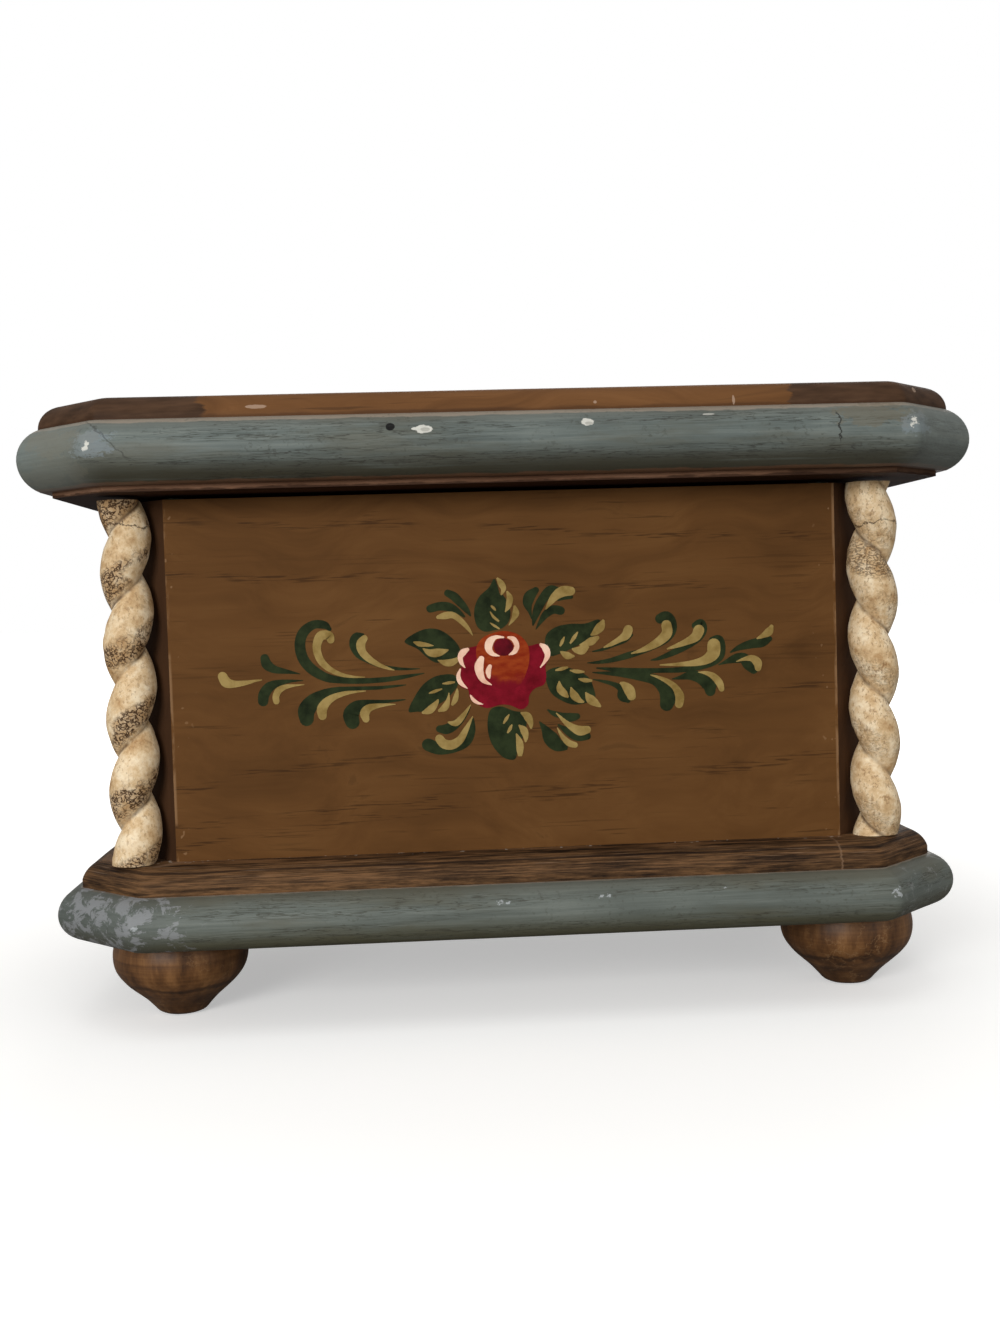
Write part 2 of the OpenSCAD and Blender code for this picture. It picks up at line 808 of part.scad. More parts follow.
// Spring barrel: a cup on a short boss
module spring_barrel() {
    color([0.74, 0.6, 0.32]) difference() {
        union() {
            post_at(mx, my, zb + run, barrel_z + 1, 3.6);
            post_at(mx, my, barrel_z, crown_z, barrel_r);
        }
        post_at(mx, my, barrel_z + 1, crown_z + 1, barrel_r - 1);
        post_at(mx, my, zb - 1, crown_z, wind_r + run);
    }
}

// Crown wheel: a disc that closes the barrel, with upright teeth
module crown_wheel() {
    r0 = crown_pr - crown_face / 2;
    color([0.78, 0.64, 0.34]) translate([mx, my, crown_z]) {
        linear_extrude(height = crown_t) difference() {
            circle(crown_pr + crown_face / 2);
            circle(wind_r + run);
        }
        for (i = [0 : crown_teeth - 1])
            rotate([0, 0, 360 * (i + 0.5) / crown_teeth])
                translate([r0, -0.55 * drive_mod, crown_t - 0.5])
                    cube([crown_face - 0.1, 1.1 * drive_mod, crown_tooth_h + 0.5]);
    }
}

// Mainspring: a flat spiral from the arbor to the barrel's wall
module mainspring() {
    n = 120;
    r0 = wind_r + run + 0.3;
    r1 = barrel_r - 1.2;
    color([0.45, 0.47, 0.5]) translate([mx, my, barrel_z + 1])
        linear_extrude(height = barrel_h - 1.5)
            polygon(concat(
                [for (i = [0 : n])
                    let (r = r0 + (r1 - r0) * i / n + 0.18, a = 15 * i)
                    [r * cos(a), r * sin(a)]],
                [for (j = [0 : n])
                    let (i = n - j, r = r0 + (r1 - r0) * i / n - 0.18, a = 15 * i)
                    [r * cos(a), r * sin(a)]]
            ));
}

// Drum with three pins for each tooth of the comb
module pinned_cylinder() {
    color([0.8, 0.68, 0.38]) difference() {
        union() {
            rod_along_x(drum_x, drum_end, my, zc, drum_r);
            for (i = [0 : comb_teeth - 1]) for (k = [0 : 2])
                translate([drum_x + 0.3 + comb_pitch * (i + 0.5), my, zc])
                    rotate([120 * k + 20 + 47 * i - 80 * floor(0.41 * i * (k + 1)), 0, 0])
                        translate([-0.17, -0.2, drum_r - 0.5]) cube([0.34, 0.4, pin_h + 0.5]);
        }
        rod_along_x(drum_x - 1, drum_end + 1, my, zc, arbor_r + fit);
    }
}

module cylinder_arbor() {
    color([0.6, 0.6, 0.6])
        rod_along_x(mx + crown_pr - 2, post2_x + post_t + 0.8, my, zc, arbor_r);
}

module cylinder_pinion() {
    color([0.78, 0.64, 0.34])
        gear_x(drive_teeth, drive_mod, 0.58, 0.24, mx + crown_pr - 1.1, 2.2, my, zc, 0, arbor_r + fit);
}

module cylinder_wheel() {
    color([0.78, 0.64, 0.34])
        gear_x(wheel_teeth, train_mod, 0.58, 0.24, wheel_x, wheel_t, my, zc, second_a, arbor_r + fit);
}

module second_arbor() {
    color([0.6, 0.6, 0.6])
        rod_along_x(frame_x - 0.4, frame_end + 0.4, second_y, second_z, second_r);
}

module second_pinion() {
    color([0.62, 0.62, 0.62])
        gear_x(second_teeth, train_mod, 0.58, 0.24, wheel_x - 0.2, wheel_t + 0.4, second_y, second_z,
            second_a + 180 + 180 / second_teeth, second_r + fit);
}

module worm_wheel() {
    color([0.78, 0.64, 0.34])
        gear_x(worm_teeth, train_mod, 0.52, 0.2, worm_x - 0.5, 1, second_y, second_z,
            180 / worm_teeth, second_r + fit);
}

// Worm on the fly's upright arbor
module fly_worm() {
    color([0.6, 0.6, 0.6]) {
        post_at(worm_x, fly_y, arm_low + 0.4, arm_high + frame_t + 0.3, fly_r);
        translate([worm_x, fly_y, second_z - worm_l / 2])
            linear_extrude(height = worm_l, twist = -360 * worm_l / worm_lead, slices = 44, $fn = 12)
                rotate(-90 - 180 * worm_l / worm_lead) translate([worm_e, 0]) circle(worm_r);
    }
}

module fly_fan() {
    color([0.75, 0.75, 0.74]) difference() {
        union() {
            post_at(worm_x, fly_y, fan_z, fan_z + fan_h, 1.3);
            translate([worm_x - fan_w / 2, fly_y - 0.25, fan_z]) cube([fan_w, 0.5, fan_h]);
        }
        post_at(worm_x, fly_y, fan_z - 1, fan_z + fan_h + 1, fly_r + fit);
    }
}

// Rod pushed down by the lid, with a finger beside the fan and a collar under the upper guide
module stop_rod() {
    color([0.66, 0.66, 0.66]) {
        post_at(rod_x, rod_y, rod_low, rod_top, rod_r);
        post_at(rod_x, rod_y, guide2_z - rod_rise - pass - 1, guide2_z - rod_rise - pass, rod_r + 0.8);
        translate([rod_x, rod_y, fan_z + fan_h / 2])
            rotate([0, 0, atan2(fly_y - rod_y, worm_x - rod_x)])
                rod_along_x(0, rod_away - rod_tip, 0, 0, 0.6);
    }
}

base_roll_board();
base_step_board();
front_panel();
back_panel();
left_panel();
right_panel();
corner_post_left();
corner_post_right();
column_left();
column_right();
foot_front_left();
foot_front_right();
foot_back_left();
foot_back_right();
partition();
compartment_felt();
lid_bumpers();
hinge_case_leaf_left();
hinge_case_leaf_right();
hinge_pin_left();
hinge_pin_right();
hinge_case_screws();
bedplate();
bedplate_screws();
winding_clutch();
comb();
comb_screws();
governor_frame();
governor_screws();
stop_guides();
lid_step_board();
lid_roll_board();
lid_top_panel();
lid_lining();
hinge_lid_leaf_left();
hinge_lid_leaf_right();
hinge_lid_screws();
winding_key();
winding_arbor();
spring_barrel();
crown_wheel();
mainspring();
pinned_cylinder();
cylinder_arbor();
cylinder_pinion();
cylinder_wheel();
second_arbor();
second_pinion();
worm_wheel();
fly_worm();
fly_fan();
stop_rod();
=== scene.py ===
"""Wooden music box with a painted front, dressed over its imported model."""

import math

import bpy
from mathutils import Matrix, Vector, noise


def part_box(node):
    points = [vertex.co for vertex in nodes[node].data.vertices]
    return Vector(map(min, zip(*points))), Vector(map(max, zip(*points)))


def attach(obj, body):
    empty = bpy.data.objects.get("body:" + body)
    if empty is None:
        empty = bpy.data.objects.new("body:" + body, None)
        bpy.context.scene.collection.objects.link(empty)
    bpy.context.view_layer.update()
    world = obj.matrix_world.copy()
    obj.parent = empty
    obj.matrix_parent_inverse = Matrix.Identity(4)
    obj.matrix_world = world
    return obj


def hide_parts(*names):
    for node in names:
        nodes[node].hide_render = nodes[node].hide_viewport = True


MM = 0.001
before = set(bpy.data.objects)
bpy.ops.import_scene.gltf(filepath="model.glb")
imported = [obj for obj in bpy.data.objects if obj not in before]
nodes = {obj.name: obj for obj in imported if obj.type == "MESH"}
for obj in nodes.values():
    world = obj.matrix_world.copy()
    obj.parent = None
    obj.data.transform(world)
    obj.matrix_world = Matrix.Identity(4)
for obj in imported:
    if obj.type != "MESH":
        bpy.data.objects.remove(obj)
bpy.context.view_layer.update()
scene = bpy.context.scene


def low(node):
    """Lowest corner of a CAD node, in mm."""
    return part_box(node)[0] / MM


def high(node):
    """Highest corner of a CAD node, in mm."""
    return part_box(node)[1] / MM


def centre_of(node):
    """Middle of a CAD node's box, in mm."""
    return (low(node) + high(node)) / 2


# Sizes in mm, beside those that come from the CAD nodes
CHAMFER_LEG_LID = 17.02
CHAMFER_LEG_LID_TOP = 14.5
CHAMFER_LEG_BASE = 18.03
CHAMFER_LEG_STEP = 15.1
CHAMFER_SOFT = 1.3
LID_BULGE = 4.3
BASE_BULGE = 5.0
LID_TOP_ROUND = 5.0
STEP_ROUND = 5.0
STEP_LAND = 1.6
COLUMN_LEAD = 15.5
COLUMN_GROOVE = 2.4
KEY_HOLE_R = 3.0
SOFT_EDGE = 0.35
PAINT_LAYER = 0.001
PAINT_GRIP = 0.06
FELT_STEP = 1.5

# Uneven wear in mm: size of the dents and their greatest depth
BOARD_WEAR = (9.0, 0.18)
FOOT_WEAR = (3.2, 0.25)
BUMPER_WEAR = (3.2, 0.12)
COLUMN_WEAR = (2.6, 0.22)
FELT_CUT = (7.0, 0.7)
FELT_DENT = 9.0
# Greatest dent of a felt as a share of its thickness, and how much slower wear changes up a turned piece
FELT_DENT_SHARE = 0.3
TURNED_WEAR_RISE = 0.35

# Counts of points: along a board's five edges, round its corners, turned pieces, columns, stroke heads
EDGE_COUNTS = (30, 8, 60, 8, 30)
CORNER_COUNT = 6
TURNED_COUNT = 72
COLUMN_ROWS = 300
COLUMN_COUNT = 80
HEAD_STEPS = 7
# Rim of a felt as (inset in mm, share of thickness), then its rings as shares of the way out
FELT_RIM = [(0.3, 0.0), (0.08, 0.2), (0.0, 0.5), (0.12, 0.8), (0.4, 0.96), (0.9, 1.0)]
FELT_RINGS = [0.97 - 0.95 * i / 30 for i in range(31)]

# Angle of a column's crest at its foot, in degrees, and the loss of a chamfer's leg per mm of inset
COLUMN_START = {"left": 203.0, "right": 84.0}
CHAMFER_SHRINK = 2 - math.sqrt(2)

# Camera: place in mm, angles in radians, focal length in pixels of the photograph
CAMERA_AT = Vector((-19.744, -354.178, 88.28))
CAMERA_YAW = -0.0583
CAMERA_PITCH = -0.04555
CAMERA_ROLL = 0.02985
FOCAL_PIXELS = 1452.303
PHOTO_WIDTH = 1000
PHOTO_HEIGHT = 1330
SENSOR = 36.0


def camera_axes():
    """Directions across and up the photograph, and into it."""
    right = Vector((math.cos(CAMERA_YAW), math.sin(CAMERA_YAW), 0))
    ahead = Vector((-math.sin(CAMERA_YAW), math.cos(CAMERA_YAW), 0))
    above = Vector((0, 0, 1))
    forward = ahead * math.cos(CAMERA_PITCH) + above * math.sin(CAMERA_PITCH)
    upward = above * math.cos(CAMERA_PITCH) - ahead * math.sin(CAMERA_PITCH)
    across = right * math.cos(CAMERA_ROLL) - upward * math.sin(CAMERA_ROLL)
    upright = right * math.sin(CAMERA_ROLL) + upward * math.cos(CAMERA_ROLL)
    return across, upright, forward


across, upright, forward = camera_axes()

# Enlarged views of the photograph on which the ornament was picked: corner in its pixels, and scale
VIEWS = {"left": (190, 550, 5.058), "middle": (430, 560, 7.467), "right": (480, 550, 4.9)}
# Brush strokes from the round head to the tail: pixels across and down a view, and half width
STROKES = {}
STROKES["ochre", "left"] = [
    [(165, 640, 24), (185, 670, 26), (225, 678, 18), (280, 672, 12), (330, 662, 6), (365, 657, 2)],
    [(437, 765, 16), (435, 740, 17), (450, 710, 17), (485, 692, 12), (530, 685, 6), (578, 681, 2)],
    [(712, 454, 19), (702, 432, 22), (662, 434, 24), (643, 475, 22), (645, 520, 20), (668, 568, 18),
     (712, 606, 14), (768, 631, 10), (825, 641, 6), (886, 643, 2)],
    [(882, 447, 17), (864, 475, 23), (872, 515, 20), (905, 550, 17), (950, 578, 12), (1000, 598, 7),
     (1035, 608, 2)],
    [(670, 838, 22), (668, 805, 26), (690, 770, 22), (730, 743, 16), (785, 725, 11), (840, 717, 6),
     (890, 713, 2)],
    [(890, 855, 18), (884, 825, 24), (905, 800, 20), (950, 788, 12), (1000, 782, 6), (1040, 780, 2)],
    [(1133, 466, 4), (1160, 475, 13), (1200, 480, 9), (1232, 484, 2)],
    [(1180, 500, 4), (1215, 520, 18), (1260, 518, 20), (1308, 505, 3)],
    [(1255, 558, 3), (1290, 570, 16), (1325, 568, 18), (1355, 550, 10)],
    [(1210, 724, 3), (1240, 714, 8), (1276, 702, 3)],
    [(1278, 676, 3), (1310, 672, 8), (1340, 668, 4)],
    [(1180, 822, 8), (1215, 808, 20), (1245, 775, 12), (1256, 755, 3)],
    [(1262, 812, 8), (1290, 795, 18), (1305, 760, 10), (1310, 722, 2)],
    [(1328, 780, 8), (1342, 755, 14), (1350, 720, 9), (1352, 700, 2)],
    [(1255, 340, 10), (1290, 332, 18), (1330, 330, 16), (1370, 358, 14), (1405, 395, 10), (1430, 432, 2)],
    [(1262, 955, 22), (1285, 980, 24), (1325, 985, 24), (1365, 960, 20), (1395, 910, 14), (1430, 840, 2)],
    [(1308, 872, 5), (1345, 875, 16), (1380, 840, 13), (1420, 782, 2)],
]
STROKES["ochre", "middle"] = [
    [(505, 140, 10), (530, 175, 24), (548, 215, 20), (530, 262, 5)],
    [(577, 238, 8), (595, 285, 24), (585, 345, 20), (560, 388, 3)],
    [(632, 348, 10), (640, 395, 26), (622, 440, 16), (588, 488, 3)],
    [(460, 345, 8), (478, 362, 10), (490, 378, 4)],
    [(450, 388, 4), (475, 425, 10), (515, 458, 7)],
    [(450, 470, 3), (480, 490, 9), (520, 515, 5)],
    [(683, 1142, 8), (725, 1165, 30), (750, 1215, 22), (755, 1260, 6)],
    [(667, 1237, 8), (700, 1270, 28), (715, 1320, 20), (712, 1360, 5)],
    [(646, 1300, 6), (668, 1360, 26), (672, 1420, 26), (672, 1465, 14)],
    [(590, 1156, 5), (570, 1185, 12), (548, 1222, 5)],
    [(610, 1233, 6), (597, 1260, 13), (578, 1292, 5)],
    [(1050, 232, 34), (990, 235, 40), (935, 270, 32), (895, 320, 20), (862, 370, 3)],
]
STROKES["ochre", "right"] = [
    [(603, 348, 8), (590, 375, 22), (565, 402, 16), (542, 418, 3)],
    [(575, 430, 10), (545, 447, 20), (515, 458, 12), (487, 466, 3)],
    [(527, 476, 8), (500, 490, 22), (470, 490, 14), (450, 483, 3)],
    [(458, 520, 6), (430, 518, 18), (405, 505, 10), (393, 496, 2)],
    [(412, 428, 4), (402, 450, 8), (392, 472, 4)],
    [(477, 404, 4), (460, 430, 9), (441, 458, 4)],
    [(372, 589, 4), (400, 582, 9), (432, 574, 4)],
    [(443, 590, 4), (475, 595, 10), (512, 597, 4)],
    [(485, 632, 4), (515, 638, 11), (550, 640, 5)],
    [(388, 645, 4), (392, 680, 18), (415, 705, 16), (433, 722, 4)],
    [(446, 675, 4), (460, 710, 20), (485, 735, 14), (510, 745, 4)],
    [(518, 700, 4), (540, 730, 22), (570, 752, 16), (592, 768, 4)],
    [(726, 390, 23), (714, 418, 22), (680, 440, 14), (640, 462, 10), (605, 478, 3)],
    [(913, 368, 25), (915, 408, 26), (880, 445, 22), (830, 475, 16), (780, 495, 9), (740, 507, 3)],
    [(1072, 393, 27), (1055, 425, 24), (1010, 450, 16), (960, 470, 10), (915, 485, 3)],
    [(1145, 465, 32), (1142, 505, 32), (1110, 535, 24), (1050, 553, 16), (970, 560, 9), (880, 563, 3)],
    [(1428, 375, 10), (1415, 400, 20), (1385, 420, 12), (1355, 434, 3)],
    [(1362, 578, 16), (1358, 550, 22), (1330, 530, 16), (1290, 535, 8), (1255, 547, 2)],
    [(975, 755, 20), (978, 715, 22), (955, 672, 16), (915, 642, 12), (870, 622, 7), (835, 612, 2)],
    [(1183, 680, 14), (1172, 650, 18), (1145, 620, 16), (1110, 603, 10), (1068, 598, 2)],
    [(742, 715, 22), (730, 685, 26), (705, 660, 16), (685, 650, 4)],
    [(525, 880, 19), (490, 885, 24), (455, 870, 18), (420, 845, 12), (390, 815, 6), (372, 798, 2)],
    [(465, 955, 14), (435, 945, 16), (405, 915, 11), (378, 870, 2)],
]
STROKES["green", "left"] = [
    [(378, 548, 22), (390, 580, 26), (425, 603, 20), (470, 612, 14), (520, 620, 7), (558, 627, 2)],
    [(370, 765, 26), (375, 730, 28), (400, 695, 26), (440, 675, 18), (500, 664, 9), (572, 660, 2)],
    [(706, 400, 10), (680, 380, 20), (625, 378, 22), (575, 415, 26), (556, 475, 27), (570, 545, 27),
     (615, 602, 26), (690, 645, 22), (780, 660, 16), (880, 662, 14), (990, 655, 13), (1090, 640, 10),
     (1185, 623, 2)],
    [(872, 430, 10), (840, 440, 22), (828, 480, 22), (850, 530, 15), (900, 560, 12), (970, 588, 10),
     (1050, 600, 8), (1110, 602, 5), (1162, 600, 2)],
    [(590, 855, 36), (590, 810, 43), (625, 765, 38), (680, 730, 26), (750, 708, 16), (850, 700, 10),
     (950, 697, 9), (1040, 688, 6), (1093, 682, 2)],
    [(822, 870, 36), (815, 830, 40), (845, 793, 32), (900, 775, 18), (970, 768, 10), (1040, 762, 6),
     (1090, 756, 2)],
    [(1303, 218, 18), (1335, 235, 22), (1370, 270, 20), (1400, 305, 14), (1420, 335, 3)],
    [(1215, 297, 20), (1260, 285, 22), (1310, 288, 22), (1355, 310, 14), (1390, 340, 5)],
    [(1205, 985, 32), (1260, 1005, 30), (1330, 1002, 24), (1390, 965, 32), (1420, 910, 24), (1432, 850, 4)],
    [(1262, 905, 18), (1300, 905, 26), (1345, 880, 22), (1390, 835, 12), (1418, 790, 3)],
]
STROKES["green", "middle"] = [
    [(790, 225, 24), (745, 270, 42), (730, 325, 36), (745, 385, 14), (760, 440, 4)],
    [(950, 212, 14), (900, 225, 36), (850, 280, 36), (810, 350, 34), (785, 420, 24), (768, 490, 5)],
    [(1055, 276, 14), (1000, 283, 14), (950, 300, 8)],
    [(975, 378, 32), (920, 370, 32), (865, 405, 28), (825, 460, 16), (790, 518, 3)],
]
STROKES["green", "right"] = [
    [(552, 497, 3), (600, 487, 7), (660, 464, 9), (715, 442, 9), (748, 412, 5)],
    [(883, 336, 25), (914, 327, 27), (942, 352, 20), (950, 395, 12), (920, 440, 10), (850, 480, 8),
     (740, 512, 16), (650, 538, 12), (580, 550, 8), (525, 553, 2)],
    [(1055, 370, 18), (1082, 360, 22), (1092, 392, 20), (1065, 432, 20), (1000, 475, 18), (930, 510, 14),
     (870, 533, 8), (835, 540, 2)],
    [(1140, 442, 18), (1170, 442, 24), (1188, 485, 15), (1170, 530, 18), (1110, 565, 14), (1000, 585, 14),
     (880, 590, 12), (750, 592, 14), (650, 585, 10), (570, 578, 3)],
    [(1420, 435, 12), (1385, 450, 24), (1330, 460, 22), (1270, 478, 14), (1225, 502, 3)],
    [(1340, 585, 22), (1318, 560, 30), (1290, 530, 26), (1250, 532, 22), (1205, 548, 10), (1168, 563, 2)],
    [(915, 755, 34), (922, 710, 42), (900, 670, 34), (855, 635, 26), (780, 618, 22), (690, 608, 14),
     (610, 603, 8), (550, 600, 2)],
    [(1128, 690, 26), (1120, 655, 36), (1080, 625, 30), (1030, 615, 22), (980, 625, 10), (940, 632, 2)],
    [(725, 738, 12), (702, 715, 28), (690, 680, 18), (660, 660, 12), (610, 645, 8), (552, 634, 2)],
    [(475, 815, 16), (440, 820, 22), (400, 812, 16), (360, 800, 12), (330, 782, 3)],
    [(525, 912, 18), (480, 912, 24), (440, 895, 20), (400, 868, 10), (380, 855, 3)],
    [(292, 842, 3), (320, 880, 20), (345, 920, 36), (380, 955, 32), (430, 965, 14)],
]
STROKES["pink", "middle"] = [
    [(548, 577, 6), (490, 577, 15), (447, 610, 29), (437, 660, 27), (465, 700, 17), (520, 717, 3)],
    [(585, 577, 8), (625, 592, 19), (648, 640, 19), (630, 685, 17), (588, 708, 4)],
    [(383, 738, 22), (366, 790, 33), (372, 845, 29), (400, 900, 19), (462, 933, 3)],
    [(447, 794, 15), (435, 830, 20), (440, 870, 13), (447, 886, 4)],
    [(280, 668, 13), (247, 690, 25), (226, 725, 20), (236, 770, 14), (263, 805, 3)],
    [(226, 815, 6), (212, 865, 15), (228, 915, 17), (280, 960, 3)],
    [(303, 1012, 6), (325, 1045, 13), (360, 1068, 10), (398, 1077, 2)],
    [(828, 632, 12), (862, 660, 25), (877, 710, 21), (855, 760, 12), (822, 803, 3)],
]
# Leaves and petals as closed outlines: pixels across and down a view
SHAPES = {}
SHAPES["green", "left"] = [
    [(1085, 465), (1135, 422), (1200, 398), (1265, 405), (1325, 445), (1365, 500), (1350, 545), (1300, 560),
     (1245, 570), (1195, 540), (1150, 500)],
    [(1105, 815), (1135, 745), (1180, 680), (1240, 640), (1310, 628), (1345, 640), (1355, 680), (1330, 720),
     (1290, 760), (1240, 790), (1190, 815), (1150, 818)],
]
SHAPES["green", "middle"] = [
    [(478, 140), (440, 205), (375, 265), (338, 335), (330, 420), (355, 500), (410, 535), (480, 525),
     (545, 505), (590, 455), (600, 385), (575, 310), (545, 262), (520, 250), (505, 195)],
    [(445, 1130), (430, 1200), (435, 1290), (465, 1380), (530, 1460), (590, 1490), (640, 1480), (655, 1400),
     (690, 1330), (715, 1260), (720, 1200), (690, 1140), (620, 1125), (540, 1095), (480, 1100)],
]
SHAPES["green", "right"] = [
    [(318, 470), (325, 415), (370, 378), (440, 362), (515, 360), (580, 340), (590, 372), (555, 425),
     (505, 455), (450, 482), (400, 505), (350, 520), (325, 505)],
    [(322, 625), (335, 588), (400, 572), (470, 588), (530, 622), (558, 680), (562, 728), (515, 750),
     (455, 757), (395, 735), (345, 695)],
]
SHAPES["crimson", "middle"] = [
    [(235, 690), (290, 655), (350, 640), (450, 590), (560, 560), (660, 590), (730, 640), (820, 625),
     (880, 670), (886, 740), (862, 795), (868, 870), (850, 930), (785, 958), (742, 1010), (732, 1080),
     (680, 1115), (600, 1085), (530, 1080), (430, 1105), (360, 1080), (300, 1030), (285, 970), (235, 950),
     (205, 890), (215, 820), (240, 790), (212, 745)],
]
SHAPES["orange", "middle"] = [
    [(350, 640), (395, 580), (470, 545), (555, 530), (640, 548), (700, 590), (738, 660), (740, 760),
     (715, 850), (680, 925), (610, 965), (530, 965), (460, 930), (400, 860), (360, 780), (345, 710)],
]
SHAPES["eye", "middle"] = [
    [(475, 640), (500, 600), (545, 582), (595, 600), (622, 650), (600, 700), (545, 715), (495, 695)],
]


def lin(red, green, blue):
    """Linear colour from sRGB bytes."""
    def channel(value):
        value /= 255
        return value / 12.92 if value <= 0.04045 else ((value + 0.055) / 1.055) ** 2.4
    return (channel(red), channel(green), channel(blue), 1.0)


class Value:
    """A node's output in a shader; arithmetic adds Math nodes, and | takes the greater of two."""

    def __init__(self, shader, socket):
        self.shader = shader
        self.socket = socket

    def __add__(self, other):
        return self.shader.math("ADD", self, other)

    def __sub__(self, other):
        return self.shader.math("SUBTRACT", self, other)

    def __rsub__(self, other):
        return self.shader.math("SUBTRACT", other, self)

    def __mul__(self, other):
        return self.shader.math("MULTIPLY", self, other)

    def __truediv__(self, other):
        return self.shader.math("DIVIDE", self, other)

    def __or__(self, other):
        return self.shader.math("MAXIMUM", self, other)

    def __abs__(self):
        return self.shader.math("ABSOLUTE", self)

    def step(self, start, end):
        """0 at start, 1 at end, smooth between; start may be above end."""
        inputs = {0: self, 1: start, 2: end, 3: 0.0, 4: 1.0}
        if start > end:
            inputs = {0: self, 1: end, 2: start, 3: 1.0, 4: 0.0}
        return self.shader.node("MapRange", inputs, interpolation_type="SMOOTHSTEP")

    def near(self, middle, far, full):
        """1 within full of middle, 0 more than far from it."""
        return abs(self - middle).step(far, full)

    def swing(self, width):
        """A noise stretched to a width and moved to lie about 0."""
        return (self - 0.5) * width


def greatest(values):
    """The greatest of several shader values."""
    result = values[0]
    for value in values[1:]:
        result = result | value
    return result


class Shader:
    """A material with one Principled shader, its colour so far, and short ways to add nodes to it."""

    def __init__(self, name, rough=0.5, metal=0.0, gloss=0.3):
        self.material = bpy.data.materials.new(name)
        self.material.use_nodes = True
        self.tree = self.material.node_tree
        self.surface = self.tree.nodes["Principled BSDF"]
        self.set("Roughness", rough)
        self.set("Metallic", metal)
        self.set("Specular IOR Level", gloss)

    def set(self, socket, value):
        """A constant or a link on the Principled shader."""
        self.give(self.surface.inputs[socket], value)

    def give(self, socket, value):
        if isinstance(value, Value):
            self.tree.links.new(value.socket, socket)
        else:
            socket.default_value = value

    def node(self, kind, inputs, output=0, **settings):
        """One output of a new node."""
        made = self.tree.nodes.new("ShaderNode" + kind)
        for name, value in settings.items():
            setattr(made, name, value)
        for key, value in inputs.items():
            self.give(made.inputs[key], value)
        return Value(self, made.outputs[output])

    def math(self, operation, *values):
        return self.node("Math", dict(enumerate(values)), operation=operation)

    def base(self, colour):
        """Sets the colour so far."""
        self.colour = colour
        self.set("Base Color", colour)

    def over(self, tone, share):
        """Lays a tone over the colour so far, by a share."""
        self.base(self.mix(share, self.colour, tone))

    def place(self, kind="Object", scale=1, move=(0, 0, 0)):
        """Texture coordinates, scaled by one number or one for each axis, and moved."""
        if isinstance(scale, (int, float)):
            scale = [scale] * 3
        inputs = {"Vector": self.node("TexCoord", {}, kind), "Scale": scale, "Location": move}
        return self.node("Mapping", inputs)

    def axes(self, kind="Object", scale=1 / MM):
        """The three texture coordinates; those of the object in mm."""
        parts = self.node("SeparateXYZ", {0: self.place(kind, scale)}).socket.node.outputs
        return [Value(self, part) for part in parts]

    def noise(self, scale, detail=4.0, rough=0.55, move=(0, 0, 0), kind="Object", twist=0.0):
        """Noise at scaled and moved texture coordinates, or at a vector that is given for scale."""
        vector = scale if isinstance(scale, Value) else self.place(kind, scale, move)
        inputs = {"Vector": vector, "Scale": 1.0, "Detail": detail, "Roughness": rough, "Distortion": twist}
        return self.node("TexNoise", inputs)

    def cracks(self, scale, width, detail=2.0, move=(0, 0, 0), kind="Object"):
        """Thin wandering lines: the level curves of a noise."""
        return self.noise(scale, detail, 0.5, move, kind).near(0.5, width, 0.3 * width)

    def mix(self, share, *colours):
        """Mix of two colours, each a value or sRGB bytes."""
        first, second = (lin(*colour) if isinstance(colour, tuple) else colour for colour in colours)
        return self.node("Mix", {0: share, 6: first, 7: second}, 2, data_type="RGBA")

    def ramp(self, value, *stops):
        """Colours in sRGB bytes at places along a value."""
        made = self.node("ValToRGB", {0: value})
        elements = made.socket.node.color_ramp.elements
        while len(elements) < len(stops):
            elements.new(0.5)
        for element, (place, colour) in zip(elements, stops):
            element.position = place
            element.color = lin(*colour)
        return made

    def spots(self, ragged, *ellipses):
        """1 inside ellipses (x, z, half width, half height) with a ragged rim, 0 outside; sizes in mm."""
        x, _, z = self.axes()
        found = []
        for middle, level, wide, tall in ellipses:
            aside = (x - middle) / wide
            up = (z - level) / tall
            found.append((aside * aside + up * up + ragged).step(1.15, 0.85))
        return greatest(found)

    def bump(self, height, strength, depth):
        """Small relief; depth in mm."""
        inputs = {"Height": height, "Strength": strength, "Distance": depth * MM}
        self.set("Normal", self.node("Bump", inputs))


